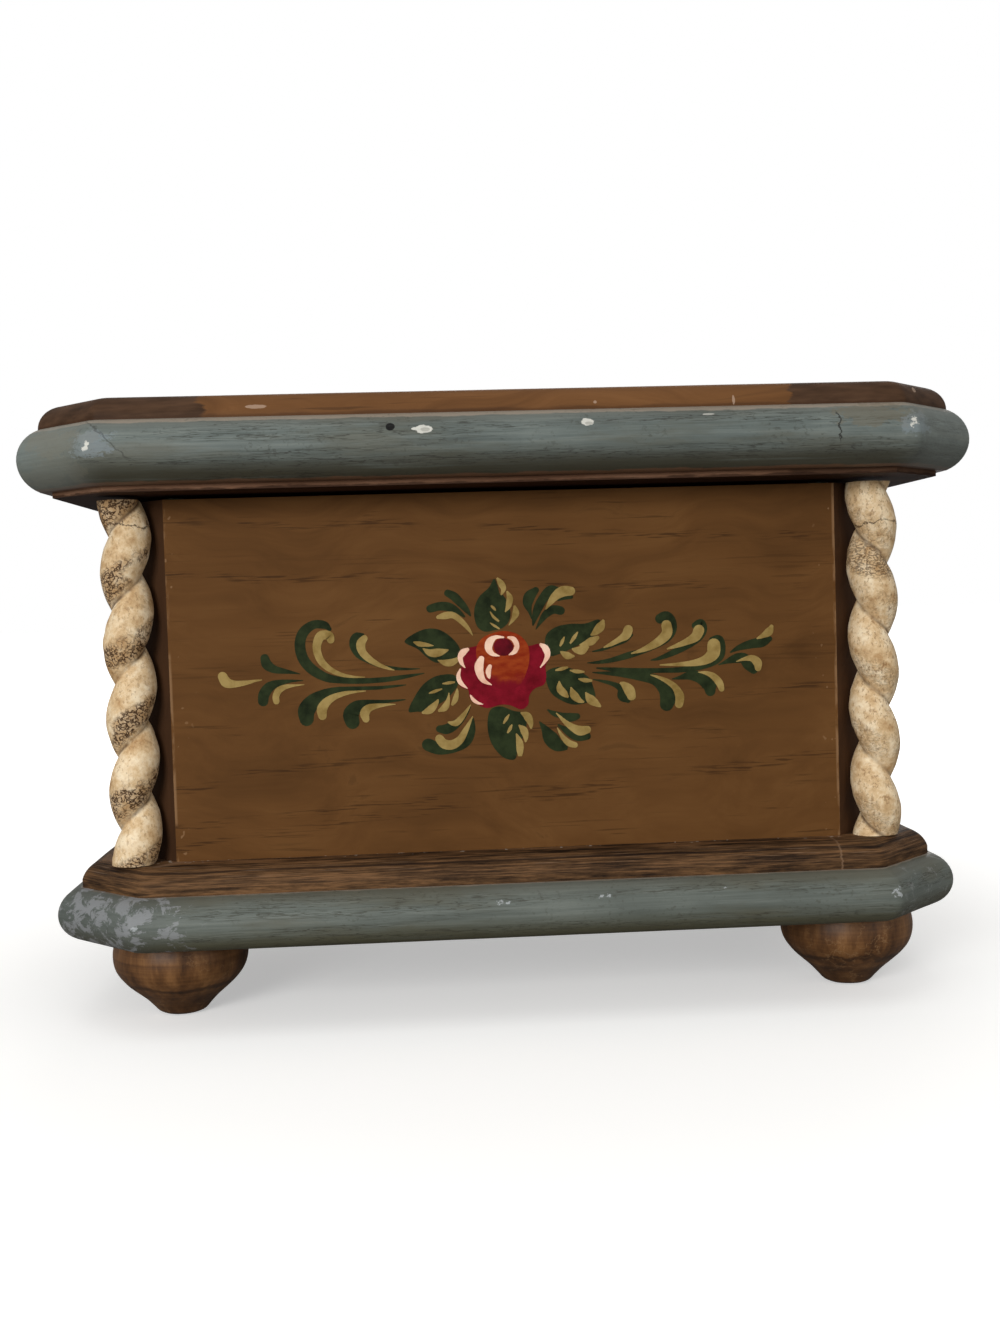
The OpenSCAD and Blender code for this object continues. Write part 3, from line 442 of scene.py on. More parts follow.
def blue_paint(name, marks, rim, olive):
    """Worn blue-grey paint brushed along a moulding, olive on its lower half from wear and painted shade;
    marks adds what one board has beside the rest.
    """
    s = Shader(name, rough=0.5, gloss=0.2)
    up = s.axes("UV", 1)[1]
    streaks = s.noise((34, 16, 1), 5, 0.68, kind="UV")
    tone = streaks * 0.6 + s.noise((38, 38, 60), 3) * 0.4
    s.base(s.ramp(tone, (0.34, (78, 86, 83)), (0.5, (98, 106, 102)), (0.68, (120, 127, 121))))
    dirt = s.noise((20, 20, 110), 5, 0.65, (4, 0, 0))
    s.over((88, 84, 68), dirt.step(0.46, 0.64) * 0.5)
    s.over((94, 90, 78), up.step(0.66, 0.92) * 0.35)
    # Lower half olive in patches: partly worn paint, partly painted shade under the bulge
    worn = s.noise((16, 7, 1), 4, move=(3.1, 0, 0), kind="UV")
    s.over(olive, up.step(0.54, 0.16) * worn.step(0.2, 0.48) * 0.88)
    patchy = s.noise((15, 5, 1), 2, move=(9, 0, 0), kind="UV")
    scratch = s.cracks((120, 30, 1), 0.03, move=(0, 1.7, 0), kind="UV") * patchy.step(0.45, 0.6)
    s.over((42, 39, 32), scratch * 0.6)
    broken = s.noise((150, 5, 1), 5, 0.65, (0, 5.3, 0), "UV").swing(0.12)
    s.over((152, 138, 122), (up + broken).step(rim, rim + 0.03) * 0.7)
    s.over((106, 76, 56), (up - broken).step(0.08, 0.045) * 0.8)
    grit = s.noise((1000, 1000, 1300), 3, 0.6)
    gritty = s.noise((70, 70, 110), 3, move=(2, 5, 0))
    s.over((50, 47, 38), grit.step(0.55, 0.68) * gritty.step(0.4, 0.62) * 0.38)
    marks(s)
    s.set("Roughness", streaks * 0.3 + 0.34)
    s.bump(streaks - scratch * 0.7, 0.45, 0.25)
    return s.material


def lid_marks(s):
    """Nail hole, filled chips, rubbed corners and the open joints of the lid's moulding, with painted glints
    and halos at its front corners and painted light on its ends.
    """
    x, y, z = s.axes()
    ragged = s.noise((650, 650, 900), 4, 0.7).swing(2.4)
    torn = s.noise((230, 230, 380), 6, 0.8).swing(9.0)
    rubbed = s.spots(torn, (-90.5, 122.4, 9.0, 2.6), (76.0, 123.4, 9.0, 2.2))
    faint = s.spots(torn, (-92.0, 116.5, 8.0, 2.4)) * 0.5
    s.over((108, 99, 80), (rubbed | faint) * 0.45)
    # Painted reflection: pale blue halos round the glints at the two front corners
    s.over((132, 144, 152), s.spots(torn, (-82.0, 121.0, 4.2, 3.0), (84.0, 121.6, 3.0, 2.4)) * 0.4)
    s.over((60, 62, 58), x.step(80, 88) * torn.step(-0.9, 0.5) * 0.45)
    # Painted light: both ends lighter, to make up for the shade on the chamfers
    s.over((136, 144, 138), abs(x).step(78, 90) * 0.3)
    chips = s.spots(ragged, (-16.6, 122.6, 1.6, 0.85), (-18.3, 122.7, 0.7, 0.28), (16.5, 123.3, 1.35, 0.75))
    # Painted highlights: white glints at the two front mitres
    painted_glints = s.spots(ragged * 2.4 + 0.6, (-83.1, 120.6, 0.9, 1.2), (83.2, 121.8, 1.2, 1.6))
    thin = s.spots(ragged, (41.2, 124.4, 1.3, 0.22)) * 0.6
    s.over((212, 210, 200), (chips | painted_glints | thin) * 0.9)
    s.over((128, 126, 116), s.spots(ragged * 0.6, (-16.3, 122.5, 0.9, 0.42), (16.7, 123.0, 0.8, 0.35)) * 0.45)
    s.over((6, 5, 4), s.spots(ragged * 0.3, (-23.2, 123.2, 0.9, 0.8)))
    wander = s.noise((190, 190, 260), 5, 0.65).swing(5.0)
    joint = (x + wander).near(67.6, 0.26, 0.1) * z.step(117.5, 119) * z.step(124.8, 123.8)
    slope = 1.12
    x_at = -80.4
    z_at = 123.3
    slant = (x + z * slope + wander).near(x_at + slope * z_at, 0.34, 0.1) * z.step(117, 119) * 0.55
    s.over((36, 33, 30), (joint | slant) * y.step(-50, -56) * 0.85)


def base_marks(s):
    """Pale scuffs on the corners of the base's moulding, a few flecks along its front, and painted glints at
    its two front corners.
    """
    x, y, _ = s.axes()
    ragged = s.noise((800, 800, 1100), 4, 0.75) * 7.0 - 2.8
    rubbed = s.noise((240, 240, 330), 6, 0.74, (1.3, 0, 0), twist=0.5)
    front = y.step(-26, -44)
    edge = x.step(-60, -79) * (front * 0.24 - 0.1)
    s.over((96, 92, 74), 0.2)
    s.over((66, 71, 70), x.step(-66, -80) * front * 0.35)
    s.over((152, 153, 156), (rubbed + edge).step(0.62, 0.68) * x.step(-62, -70) * 0.56)
    s.over((146, 148, 146), x.step(76.5, 83) * front * rubbed.step(0.55, 0.63) * 0.4)
    # Three pale flecks along the front, and two painted highlights: glints at the front corners, at x -78.2
    # and 79.2
    flecks = s.spots(
        ragged,
        (-3.4, 25.9, 2.1, 0.5),
        (17.7, 26.3, 1.5, 0.45),
        (-78.2, 23.8, 0.8, 0.6),
        (79.2, 24.4, 1.4, 1.4),
        (43.0, 26.9, 1.2, 0.3),
    )
    s.over((186, 190, 192), flecks * 0.6)


def wood(name, tones, along=0, rough=0.5, gloss=0.25, lines=0.0):
    """Stained wood with its grain along an axis: tones are the dark, middle and light colours."""
    s = Shader(name, rough=rough, gloss=gloss)

    def stretched(fine, slow):
        """Scale of a pattern that is drawn out along the grain."""
        scale = [fine] * 3
        scale[along] = slow
        return scale

    warp = s.noise(16, 2) * 9.0
    shift = s.node("CombineXYZ", {"Y": warp, "Z": warp})
    bent = s.node("VectorMath", {0: s.place("Object", stretched(170, 7)), 1: shift}, operation="ADD")
    bands = s.noise(bent, 5, 0.6)
    pores = s.noise(stretched(1500, 55), 2, 0.5)
    tone = bands * 0.55 + s.noise(22, 3) * 0.45
    s.base(s.ramp(tone, *zip((0.33, 0.5, 0.68), tones)))
    dark = s.mix(0.58, tones[0], (0, 0, 0))
    s.over(dark, bands.step(0.6, 0.68) * 0.3)
    streak = pores.step(0.6, 0.7) * bands.step(0.46, 0.62)
    s.over(dark, streak * 0.5)
    row = s.noise(stretched(130, 7), 2, move=(7, 3, 5))
    s.over(dark, pores.step(0.53, 0.6) * row.step(0.6, 0.66) * lines)
    s.bump(bands - streak * 0.8, 0.2, 0.12)
    return s


# Rows of dark grain on the front panel: (height at the middle in mm, slope)
GRAIN_ROWS = ((103.4, -0.041), (91.9, -0.053), (58.9, 0.124), (46.9, 0.066), (45.0, 0.095))


def front_wood(name, tones, left, right):
    """Front panel: plain stained wood, rubbed pale along its upright edges, which are at left and right."""
    s = wood(name, tones, rough=0.65, gloss=0.07, lines=0.25)
    x, _, z = s.axes()
    wander = s.noise((40, 0, 25), 3).swing(8.0)
    rows = greatest([(z - x * slope + wander).near(height, 1.3, 0.2) for height, slope in GRAIN_ROWS])
    dashes = s.noise((130, 300, 2300), 2, 0.45, (0, 0, 4))
    patchy = s.noise((45, 45, 20), 2, move=(6, 0, 0))
    s.over((46, 28, 13), rows * dashes.step(0.5, 0.6) * patchy.step(0.36, 0.52) * 0.62)
    inside = s.math("MINIMUM", x - left, right - x)
    rubbed = inside.step(0.7, 0.3) * s.noise((500, 500, 130), 4, 0.65).step(0.4, 0.6)
    nicks = inside.step(7, 0) * s.noise(620, 1).step(0.7, 0.74)
    s.over((156, 122, 88), (rubbed | nicks) * 0.5)
    return s.material


def lid_edge_wood():
    """Lid top: reddish brown, with darker corner pieces at the front and a few pale scratches."""
    tones = ((82, 52, 26), (106, 70, 38), (126, 86, 50))
    s = wood("lid_edge_wood", tones, rough=0.6, gloss=0.12, lines=0.6)
    x, y, z = s.axes()
    ragged = s.noise(900, 2).swing(1.6)
    grain = s.noise((120, 300, 700), 4)
    along = x + grain.swing(6.0)
    corners = along.step(-60.5, -61.7) | along.step(58.6, 59.4)
    deep = s.ramp(grain, (0.3, (46, 31, 20)), (0.7, (78, 56, 40)))
    s.over(deep, corners * y.step(55, 50) * 0.9)
    s.over((56, 34, 18), (z + grain.swing(1.2)).step(127.2, 126.6) * 0.5)
    scratches = s.spots(
        ragged,
        (-50.0, 128.3, 2.2, 0.4),
        (18.5, 127.7, 0.35, 0.3),
        (47.0, 127.5, 0.3, 0.9),
        (86.5, 129.5, 0.5, 0.6),
    )
    s.over((186, 160, 138), scratches * 0.5)
    return s.material


def lid_ledge_wood():
    """Board under the lid: a pale broken edge, darker towards the right, with painted shade on the lower part
    of its edge and on its underside.
    """
    tones = ((96, 66, 48), (126, 92, 70), (150, 116, 92))
    s = wood("lid_ledge_wood", tones, rough=0.7, gloss=0.08)
    x, _, z = s.axes()
    s.over((60, 42, 30), x.step(58, 60) * 0.6)
    # Painted shade: the lower part of the front edge darkened
    broken = s.noise((140, 140, 500), 5, 0.65).swing(1.6)
    s.over((44, 27, 18), (z + broken).step(112.7, 112.3) * 0.8)
    # Painted shade: faces that look down are dark, for the shade under the lid
    grain = s.noise((14, 260, 260), 5, 0.62, (0, 2, 0))
    deep = s.ramp(grain, (0.34, (34, 19, 13)), (0.5, (52, 31, 21)), (0.66, (70, 44, 30)))
    s.over(deep, s.axes("Normal", 1)[2].step(-0.3, -0.6))
    return s.material


def step_wood():
    """Base step: dark stain with coarse scraped streaks, a painted shadow line along its side, pale rubbed
    edges and flecks at the panel.
    """
    s = Shader("step_wood", rough=0.65, gloss=0.12)
    x, y, z = s.axes()
    aside = abs(x)
    grit = s.noise((150, 22, 1), 4, 0.7, (5, 0, 0), "UV")
    side = s.noise((42, 10, 1), 6, 0.75, kind="UV") * 0.5 + grit * 0.3 + s.noise(40, 3) * 0.2
    ledge = s.noise((60, 420, 420), 5, 0.7)
    ends = s.noise((420, 60, 420), 5, 0.7)
    ledge = ledge + aside.step(81.5, 82.2) * (ends - ledge)
    flat = s.axes("Normal", 1)[2].step(0.97, 0.995)
    tone = side + flat * (ledge - side)
    s.base(s.ramp(tone, (0.42, (32, 20, 11)), (0.5, (78, 55, 34)), (0.58, (118, 85, 55))))
    # Painted shadow: a dark wavering line along the rounded side of the step
    waver = s.noise((18, 0, 0), 4, kind="UV").swing(0.3)
    painted_shadow_line = (s.axes("UV", 1)[1] + waver).near(0.62, 0.06, 0.02)
    s.over((28, 17, 11), painted_shadow_line * (1.0 - flat) * 0.75)
    rubbed = s.noise((60, 30, 1), 3, move=(2, 0, 0), kind="UV")
    s.over((150, 122, 98), rubbed.step(0.6, 0.68) * z.step(30.8, 33) * 0.45)
    mitre = x.near(grit * 1.2 + 68.4, 0.3, 0.1)
    s.over((134, 106, 82), mitre * y.step(-40, -44) * 0.5)
    flecks = s.noise(800, 1).step(0.68, 0.72)
    foot_of_panel = y.step(-46, -44.5) * y.step(-41, -42) * aside.step(79, 77)
    s.over((205, 195, 180), foot_of_panel * flecks * 0.8)
    inside = aside.step(74.8, 74.2) * y.step(-37, -35.6) * y.step(52.5, 51.5)
    s.over((78, 54, 34), inside * 0.75)
    s.bump(tone, 0.7, 0.35)
    return s.material


def cream_paint(name, crackle, speckle, crack, cracked=None):
    """Old cream paint on a twisted column, with dirt and crackle above each groove.

    crack is the height of a thin split, and cracked a band of heights with more crackle, in mm."""
    s = Shader(name, rough=0.55, gloss=0.2)
    groove, below = (s.node("Attribute", {}, "Fac", attribute_name=field) for field in ("groove", "below"))
    z = s.axes()[2]
    mottled = s.noise(260, 6, 0.7)
    s.base(s.ramp(mottled, (0.33, (184, 146, 100)), (0.48, (219, 189, 146)), (0.64, (243, 223, 189))))
    dust = s.noise((1500, 1500, 1000), 4, 0.68)
    patch = s.noise(150, 3)
    s.over((136, 98, 58), dust.step(0.54, 0.61) * patch.step(0.24, 0.54) * speckle)
    lower = below.step(0.0, 0.7) * patch.step(0.34, 0.52)
    lines = s.cracks((1050, 1050, 1250), 0.07, 4)
    if cracked:
        start, end = cracked
        band = z.step(start, start + 2) * z.step(end, end - 2)
        lower = lower * 0.3 | band * below.step(0.3, -0.4) * 0.8
        lines = s.cracks((800, 800, 1700), 0.06, 5)
    wander = s.noise(210, 5, 0.65).swing(7.0)
    split = (z + wander).near(crack, 0.28, 0.1)
    s.over((40, 24, 12), split * patch.step(0.36, 0.46) * 0.8)
    s.over((150, 108, 62), lower * (0.25 if cracked else 0.5))
    s.over((62, 38, 18), lines * lower * crackle)
    # Darker along each groove: an even painted shade in the crease, and dirt in patches on top
    s.over((66, 40, 20), groove.step(0.78, 1.0) * (patch.step(0.38, 0.58) * 0.5 + 0.3))
    s.bump(mottled - lines * lower, 0.6, 0.3)
    return s.material


def foot_wood():
    """Turned foot: brown stain with upright chatter marks, fine pale cracks and a darker ridge."""
    s = Shader("foot_wood", rough=0.45, gloss=0.3)
    z = s.axes()[2]
    tone = s.noise((260, 260, 70), 5, 0.65) * 0.75 + s.noise((12, 12, 1100), 2) * 0.25
    s.base(s.ramp(tone, (0.36, (68, 43, 23)), (0.5, (101, 67, 37)), (0.64, (132, 92, 54))))
    waver = s.noise((120, 120, 0), 4).swing(6.0)
    s.over((42, 25, 14), (z + waver).near(7.0, 0.8, 0.2) * 0.65)
    # Darker towards the bottom of the foot
    s.over((50, 32, 18), z.step(7, 2) * 0.45)
    dry = s.noise((90, 90, 60), 2, move=(3, 1, 0)).step(0.48, 0.6)
    s.over((158, 122, 84), s.cracks((300, 300, 340), 0.016, 5) * dry * 0.36)
    s.bump(tone, 0.4, 0.3)
    return s.material


def felt(name, dark, light):
    """Pressed felt with fine matted fibres."""
    s = Shader(name, rough=0.95, gloss=0.1)
    fibres = s.noise(900, 5, 0.7)
    s.base(s.ramp(fibres, (0.3, dark), (0.7, light)))
    s.set("Sheen Weight", 0.25)
    s.bump(fibres, 0.6, 0.4)
    return s.material


def metal(name, dark, light, rough):
    """Bare metal with a faint tarnish."""
    s = Shader(name, rough=rough, metal=1.0, gloss=0.5)
    tarnish = s.noise(160, 5, 0.6)
    s.base(s.ramp(tarnish, (0.35, dark), (0.65, light)))
    s.set("Roughness", tarnish * 0.25 + (rough - 0.1))
    return s.material


def brush_paint(name, thin, thick):
    """Ornament paint with faint brush streaks."""
    s = Shader(name, rough=0.6, gloss=0.06)
    s.base(s.ramp(s.noise(330, 4, 0.6), (0.32, thin), (0.62, thick)))
    return s.material


def rose_paint():
    """Rose heart: orange that blends into the crimson petals below."""
    s = Shader("rose_paint", rough=0.6, gloss=0.06)
    s.base(s.ramp(s.noise((300, 300, 700), 3), (0.35, (128, 36, 12)), (0.65, (152, 62, 24))))
    height = s.axes()[2] + s.noise(420, 4).swing(6.0)
    s.over((116, 12, 28), height.step(72.6, 69.6))
    return s.material


def mesh_piece(name, points, faces, materials, uv=None, which=None, sharp=40):
    """Mesh object from points in mm; uv is per point, which gives each face's material."""
    mesh = bpy.data.meshes.new(name)
    mesh.from_pydata([Vector(p) * MM for p in points], [], faces)
    for material in materials:
        mesh.materials.append(material)
    if which:
        mesh.polygons.foreach_set("material_index", which)
    if uv:
        layer = mesh.uv_layers.new(name="UVMap")
        for loop in mesh.loops:
            layer.data[loop.index].uv = uv[loop.vertex_index]
    mesh.shade_smooth()
    mesh.set_sharp_from_angle(angle=math.radians(sharp))
    piece = bpy.data.objects.new(name, mesh)
    scene.collection.objects.link(piece)
    return piece


def between(first, last, count):
    """Points from first up to, not including, last."""
    return [first.lerp(last, i / count) for i in range(count)]


def edge_ring(edge, inset):
    """Plan points round a board's edge from its back left corner to its back right one."""
    half = edge["half"] - inset
    front = edge["front"] + inset
    leg = edge["leg"] - CHAMFER_SHRINK * inset
    left = [(-half, edge["back"]), (-half, front + leg), (leg - half, front)]
    corners = [Vector(p) for p in left + [(-x, y) for x, y in reversed(left)]]
    ring = []
    start = corners[0]
    for before, corner, after, count in zip(corners, corners[1:], corners[2:], EDGE_COUNTS):
        near = corner + (before - corner).normalized() * CHAMFER_SOFT
        far = corner + (after - corner).normalized() * CHAMFER_SOFT
        ring += between(start, near, count)
        for k in range(CORNER_COUNT):
            t = k / CORNER_COUNT
            ring.append(near * (1 - t) ** 2 + corner * 2 * t * (1 - t) + far * t ** 2)
        start = far
    return ring + between(start, corners[-1], EDGE_COUNTS[-1]) + corners[-1:]


def levels(node):
    """Lowest and highest level of a CAD node, in mm."""
    return low(node).z, high(node).z


def rolled_profile(z0, z1, bulge, count=18):
    """(inset, z) up a moulding that bulges out between two levels."""
    tall = z1 - z0
    radius = (tall ** 2 / 4 + bulge ** 2) / (2 * bulge)
    reach = math.asin(tall / 2 / radius)
    angles = [reach * (2 * i / count - 1) for i in range(count + 1)]
    return [(radius - radius * math.cos(a), (z0 + z1) / 2 + radius * math.sin(a)) for a in angles]


def rounded_profile(z0, z1, wide, count=10):
    """(inset, z) up an edge that is rounded from z0 to z1."""
    tall = z1 - z0
    radius = (wide ** 2 + tall ** 2) / (2 * tall)
    start = math.asin((radius - tall) / radius)
    angles = [start + (math.pi / 2 - start) * i / count for i in range(count + 1)]
    return [(wide - radius * math.cos(a), z1 - radius + radius * math.sin(a)) for a in angles]


def wear(point, size, depth):
    """Depth of uneven wear at a point, in mm: 0 to depth."""
    return depth * (0.5 + 0.5 * noise.noise(Vector(point) / size))


def moulded_board(name, node, leg, profile, materials, hole=None):
    """Board in the place of a CAD node, with one moulded edge round its front and sides.

    leg is that of the chamfered corners, and materials are the edge's and the flat faces'."""
    edge = {"half": high(node).x, "front": low(node).y, "back": high(node).y, "leg": leg}
    points = []
    uv = []
    middle = edge_ring(edge, 0)
    run = [0.0]
    for a, b in zip(middle, middle[1:]):
        run.append(run[-1] + (b - a).length)
    for row, (inset, z) in enumerate(profile):
        ring = edge_ring(edge, inset)
        inner = edge_ring(edge, inset + 1)
        for i, (p, q) in enumerate(zip(ring, inner)):
            worn = p + (q - p) * wear((p.x, p.y, z), *BOARD_WEAR)
            points.append((worn.x, min(worn.y, edge["back"]), z))
            uv.append(((run[i] - run[-1] / 2) * MM, row / (len(profile) - 1)))
    wide = len(middle)
    rows = len(profile)
    starts = [j * wide + i for j in range(rows - 1) for i in range(wide - 1)]
    faces = [(a, a + 1, a + wide + 1, a + wide) for a in starts]
    which = [0] * len(faces)
    faces.append([j * wide for j in range(rows)] + [j * wide + wide - 1 for j in reversed(range(rows))])
    rings = [list(range(wide)), list(range((rows - 1) * wide, rows * wide))]
    caps = [[ring] for ring in rings]
    if hole:
        rims = [circle_points(points, uv, hole, z) for z in (profile[0][1], profile[-1][1])]
        caps = [holed_cap(ring, rim) for ring, rim in zip(rings, rims)]
        low_rim, high_rim = rims
        for i in range(len(low_rim)):
            faces.append((low_rim[i], low_rim[i - 1], high_rim[i - 1], high_rim[i]))
    faces += [list(reversed(face)) for face in caps[0]] + caps[1]
    which += [1] * (len(faces) - len(which))
    return mesh_piece(name, points, faces, materials, uv, which)


def circle_points(points, uv, hole, z, count=32):
    """Adds a circle (x, y, radius) at a level, from its front point anticlockwise; returns its numbers."""
    x, y, radius = hole
    first = len(points)
    for i in range(count):
        a = 2 * math.pi * i / count
        points.append((x + radius * math.sin(a), y - radius * math.cos(a), z))
        uv.append((0.0, 0.5))
    return list(range(first, first + count))


def holed_cap(ring, rim):
    """Three faces that fill a board's flat face round a hole; both loops run anticlockwise."""
    middle = len(ring) // 2
    half = len(rim) // 2
    right = ring[middle:] + rim[half::-1]
    left = ring[:middle + 1] + rim[:1] + rim[:half - 1:-1]
    behind = [ring[-1], ring[0], rim[half]]
    return [right, left, behind]


def smooth(points, closed=False, steps=6):
    """Catmull-Rom curve through points of any number of coordinates."""
    rows = [Vector(p) for p in points]
    row = rows[-1:] + rows + rows[:2] if closed else rows[:1] + rows + rows[-1:]
    curve = []
    for a, b, c, d in zip(row, row[1:], row[2:], row[3:]):
        square = 2 * a - 5 * b + 4 * c - d
        cube = 3 * b - a - 3 * c + d
        for k in range(steps):
            t = k / steps
            curve.append(0.5 * (2 * b + (c - a) * t + square * t ** 2 + cube * t ** 3))
    return curve if closed else curve + rows[-1:]


def ring_faces(first, rows, count):
    """Faces between closed rings of count points, and both caps; first is the first point's number."""
    faces = []
    for j in range(rows - 1):
        a = first + j * count
        for i in range(count):
            k = (i + 1) % count
            faces.append((a + i, a + k, a + count + k, a + count + i))
    top = first + (rows - 1) * count
    return faces + [list(reversed(range(first, first + count))), list(range(top, top + count))]


def turned(name, centres, profile, material, worn):
    """Solids of revolution about upright axes, from (radius, z) points in mm, worn unevenly."""
    points = []
    faces = []
    for centre in centres:
        faces += ring_faces(len(points), len(profile), TURNED_COUNT)
        for radius, z in profile:
            for i in range(TURNED_COUNT):
                a = 2 * math.pi * i / TURNED_COUNT
                x = math.cos(a)
                y = math.sin(a)
                place = (centre.x + radius * x, centre.y + radius * y, z * TURNED_WEAR_RISE)
                r = radius - wear(place, *worn)
                points.append((centre.x + r * x, centre.y + r * y, z))
    return mesh_piece(name, points, faces, [material])


def plan_corners(node):
    """Corners of a flat CAD node with a convex plan, anticlockwise, in mm."""
    centre = centre_of(node)
    places = [nodes[node].matrix_world @ v.co / MM for v in nodes[node].data.vertices]
    corners = {(round(p.x, 2), round(p.y, 2)) for p in places}
    return sorted((Vector(p) for p in corners), key=lambda p: math.atan2(p.y - centre.y, p.x - centre.x))


def plan_area(corners):
    """Area inside corners that run anticlockwise."""
    pairs = zip(corners, corners[1:] + corners[:1])
    return sum(a.x * b.y - b.x * a.y for a, b in pairs) / 2


def felt_sheet(name, node, material, seen):
    """Hand-cut felt in the place of a flat CAD node; seen is 1 if its top shows, -1 if its underside does."""
    corners = plan_corners(node)
    outline = []
    for a, b in zip(corners, corners[1:] + corners[:1]):
        outline += between(a, b, math.ceil((b - a).length / FELT_STEP))
    centre = sum(corners, Vector((0, 0))) / len(corners)
    bottom, top = levels(node)
    thick = top - bottom
    glued = bottom if seen > 0 else top

    def raised(place, share):
        """Point over a place of the plan, at a share of the dented thickness there."""
        dent = wear((place.x, place.y, 0), FELT_DENT, FELT_DENT_SHARE * thick)
        return (place.x, place.y, glued + seen * share * (thick - dent))

    points = []
    for inset, share in FELT_RIM:
        for p in outline:
            cut = inset + wear((p.x, p.y, 0), *FELT_CUT)
            points.append(raised(p + (centre - p).normalized() * cut, share))
    for share in FELT_RINGS:
        points += [raised(centre.lerp(p, share), 1) for p in outline]
    faces = [face[::seen] for face in ring_faces(0, len(FELT_RIM) + len(FELT_RINGS), len(outline))]
    return mesh_piece(name, points, faces, [material], sharp=80)


def twisted_column(side, material):
    """Twisted column with a sharp spiral groove, right-handed at the left and left-handed at the right."""
    node = "column_" + side
    hand = 1 if side == "left" else -1
    centre = centre_of(node)
    radius = (high(node).x - low(node).x) / 2
    foot = high("base_step_board").z
    tall = high(node).z - foot
    points = []
    groove = []
    below = []
    for j in range(COLUMN_ROWS + 1):
        h = tall * j / COLUMN_ROWS
        crest = COLUMN_START[side] + 360 * h / COLUMN_LEAD
        for i in range(COLUMN_COUNT):
            angle = 360 * i / COLUMN_COUNT
            a = (angle - crest + 180) % 360 - 180
            share = (a / 180) ** 2
            x = hand * math.cos(math.radians(angle))
            y = math.sin(math.radians(angle))
            r = radius - COLUMN_GROOVE * share
            r -= wear((centre.x + r * x, centre.y + r * y, foot + h), *COLUMN_WEAR)
            points.append((centre.x + r * x, centre.y + r * y, foot + h))
            groove.append(share)
            below.append(math.sin(math.radians(a)))
    faces = [face[::hand] for face in ring_faces(0, COLUMN_ROWS + 1, COLUMN_COUNT)]
    piece = mesh_piece("twisted_" + node, points, faces, [material], sharp=60)
    for name, values in (("groove", groove), ("below", below)):
        piece.data.attributes.new(name, "FLOAT", "POINT").data.foreach_set("value", values)
    return piece


def stroke_outline(points):
    """Left and right side of a brush stroke that tapers along its spine, and its round head."""
    spine = smooth(points)
    left = []
    right = []
    for i, p in enumerate(spine):
        run = spine[min(i + 1, len(spine) - 1)] - spine[max(i - 1, 0)]
        side = Vector((-run.y, run.x)).normalized()
        left.append(p.xy + side * p.z)
        right.append(p.xy - side * p.z)
    first = spine[0].xy
    arm = left[0] - first
    head = [first + Matrix.Rotation(math.pi * k / HEAD_STEPS, 2) @ arm for k in range(1, HEAD_STEPS)]
    return left, right, head


def on_panel(view, points):
    """Points picked on a view as (x, z) or (x, z, half width) on the front panel, in mm."""
    left, top, zoom = VIEWS[view]
    row = []
    for x, y, *half in points:
        ray = forward * FOCAL_PIXELS + across * (left + x / zoom - PHOTO_WIDTH / 2)
        ray -= upright * (top + y / zoom - PHOTO_HEIGHT / 2)
        reach = (low("front_panel").y - CAMERA_AT.y) / ray.y
        place = CAMERA_AT + ray * reach
        row.append([place.x, place.z] + [size * reach / zoom for size in half])
    return row


def picked(table, colour):
    """All of one colour's rows in a table, on the front panel."""
    return [on_panel(view, row) for (paint, view), rows in table.items() if paint == colour for row in rows]


def painted(colour, material, lift):
    """All of one colour's strokes and shapes as one thin sheet on the front panel; lift in mm."""
    front = low("front_panel").y - lift
    points = []
    faces = []
    for row in picked(STROKES, colour):
        front -= PAINT_LAYER
        left, right, head = stroke_outline(row)
        first = len(points)
        count = len(left)
        points += [(p.x, front, p.y) for p in left + right + head]
        for i in range(count - 1):
            faces.append((first + i, first + count + i, first + count + i + 1, first + i + 1))
        start = first + 2 * count
        faces.append([first] + list(range(start, start + len(head))) + [first + count])
    for row in picked(SHAPES, colour):
        front -= PAINT_LAYER
        outline = smooth(row, closed=True, steps=5)
        faces.append(list(range(len(points), len(points) + len(outline))))
        points += [(p.x, front, p.y) for p in outline]
    piece = mesh_piece("ornament_" + colour, points, facing_front(points, faces), [material])
    piece.data.shade_flat()
    skin = piece.modifiers.new("paint thickness", "SOLIDIFY")
    skin.thickness = (lift + PAINT_GRIP) * MM
    skin.offset = -1
    return piece


def facing_front(points, faces):
    """The same faces, turned so that each looks along -Y."""
    turned_faces = []
    for face in faces:
        area = plan_area([Vector((points[i][0], points[i][2])) for i in face])
        turned_faces.append(list(face) if area > 0 else list(reversed(face)))
    return turned_faces


def stand(piece, body, slot, *replaced):
    """The piece rides on a body and stands for CAD nodes, which are hidden; slot is not used."""
    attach(piece, body)
    if replaced:
        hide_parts(*replaced)


# Materials of the CAD nodes that stay, by the record's slot
panel_tones = ((82, 53, 25), (97, 64, 32), (110, 75, 40))
post_tones = ((50, 32, 19), (66, 43, 26), (82, 55, 34))
under_tones = ((62, 42, 28), (84, 58, 40), (104, 74, 52))
inner_tones = ((96, 66, 42), (122, 88, 58), (140, 106, 74))
panel_wood = wood("panel_wood", panel_tones, rough=0.65, gloss=0.07, lines=0.55).material
side_wood = wood("side_wood", panel_tones, along=1).material
post_wood = wood("post_wood", post_tones, along=2, rough=0.7, gloss=0.1).material
under_wood = wood("under_wood", under_tones).material
SLOT_MATERIALS = {
    "stained_wood": panel_wood,
    "dark_wood": under_wood,
    "inner_wood": wood("inner_wood", inner_tones, along=1, rough=0.7).material,
    "red_felt": felt("red_felt", (84, 14, 20), (128, 30, 34)),
    "green_felt": felt("green_felt", (26, 52, 32), (48, 84, 52)),
}
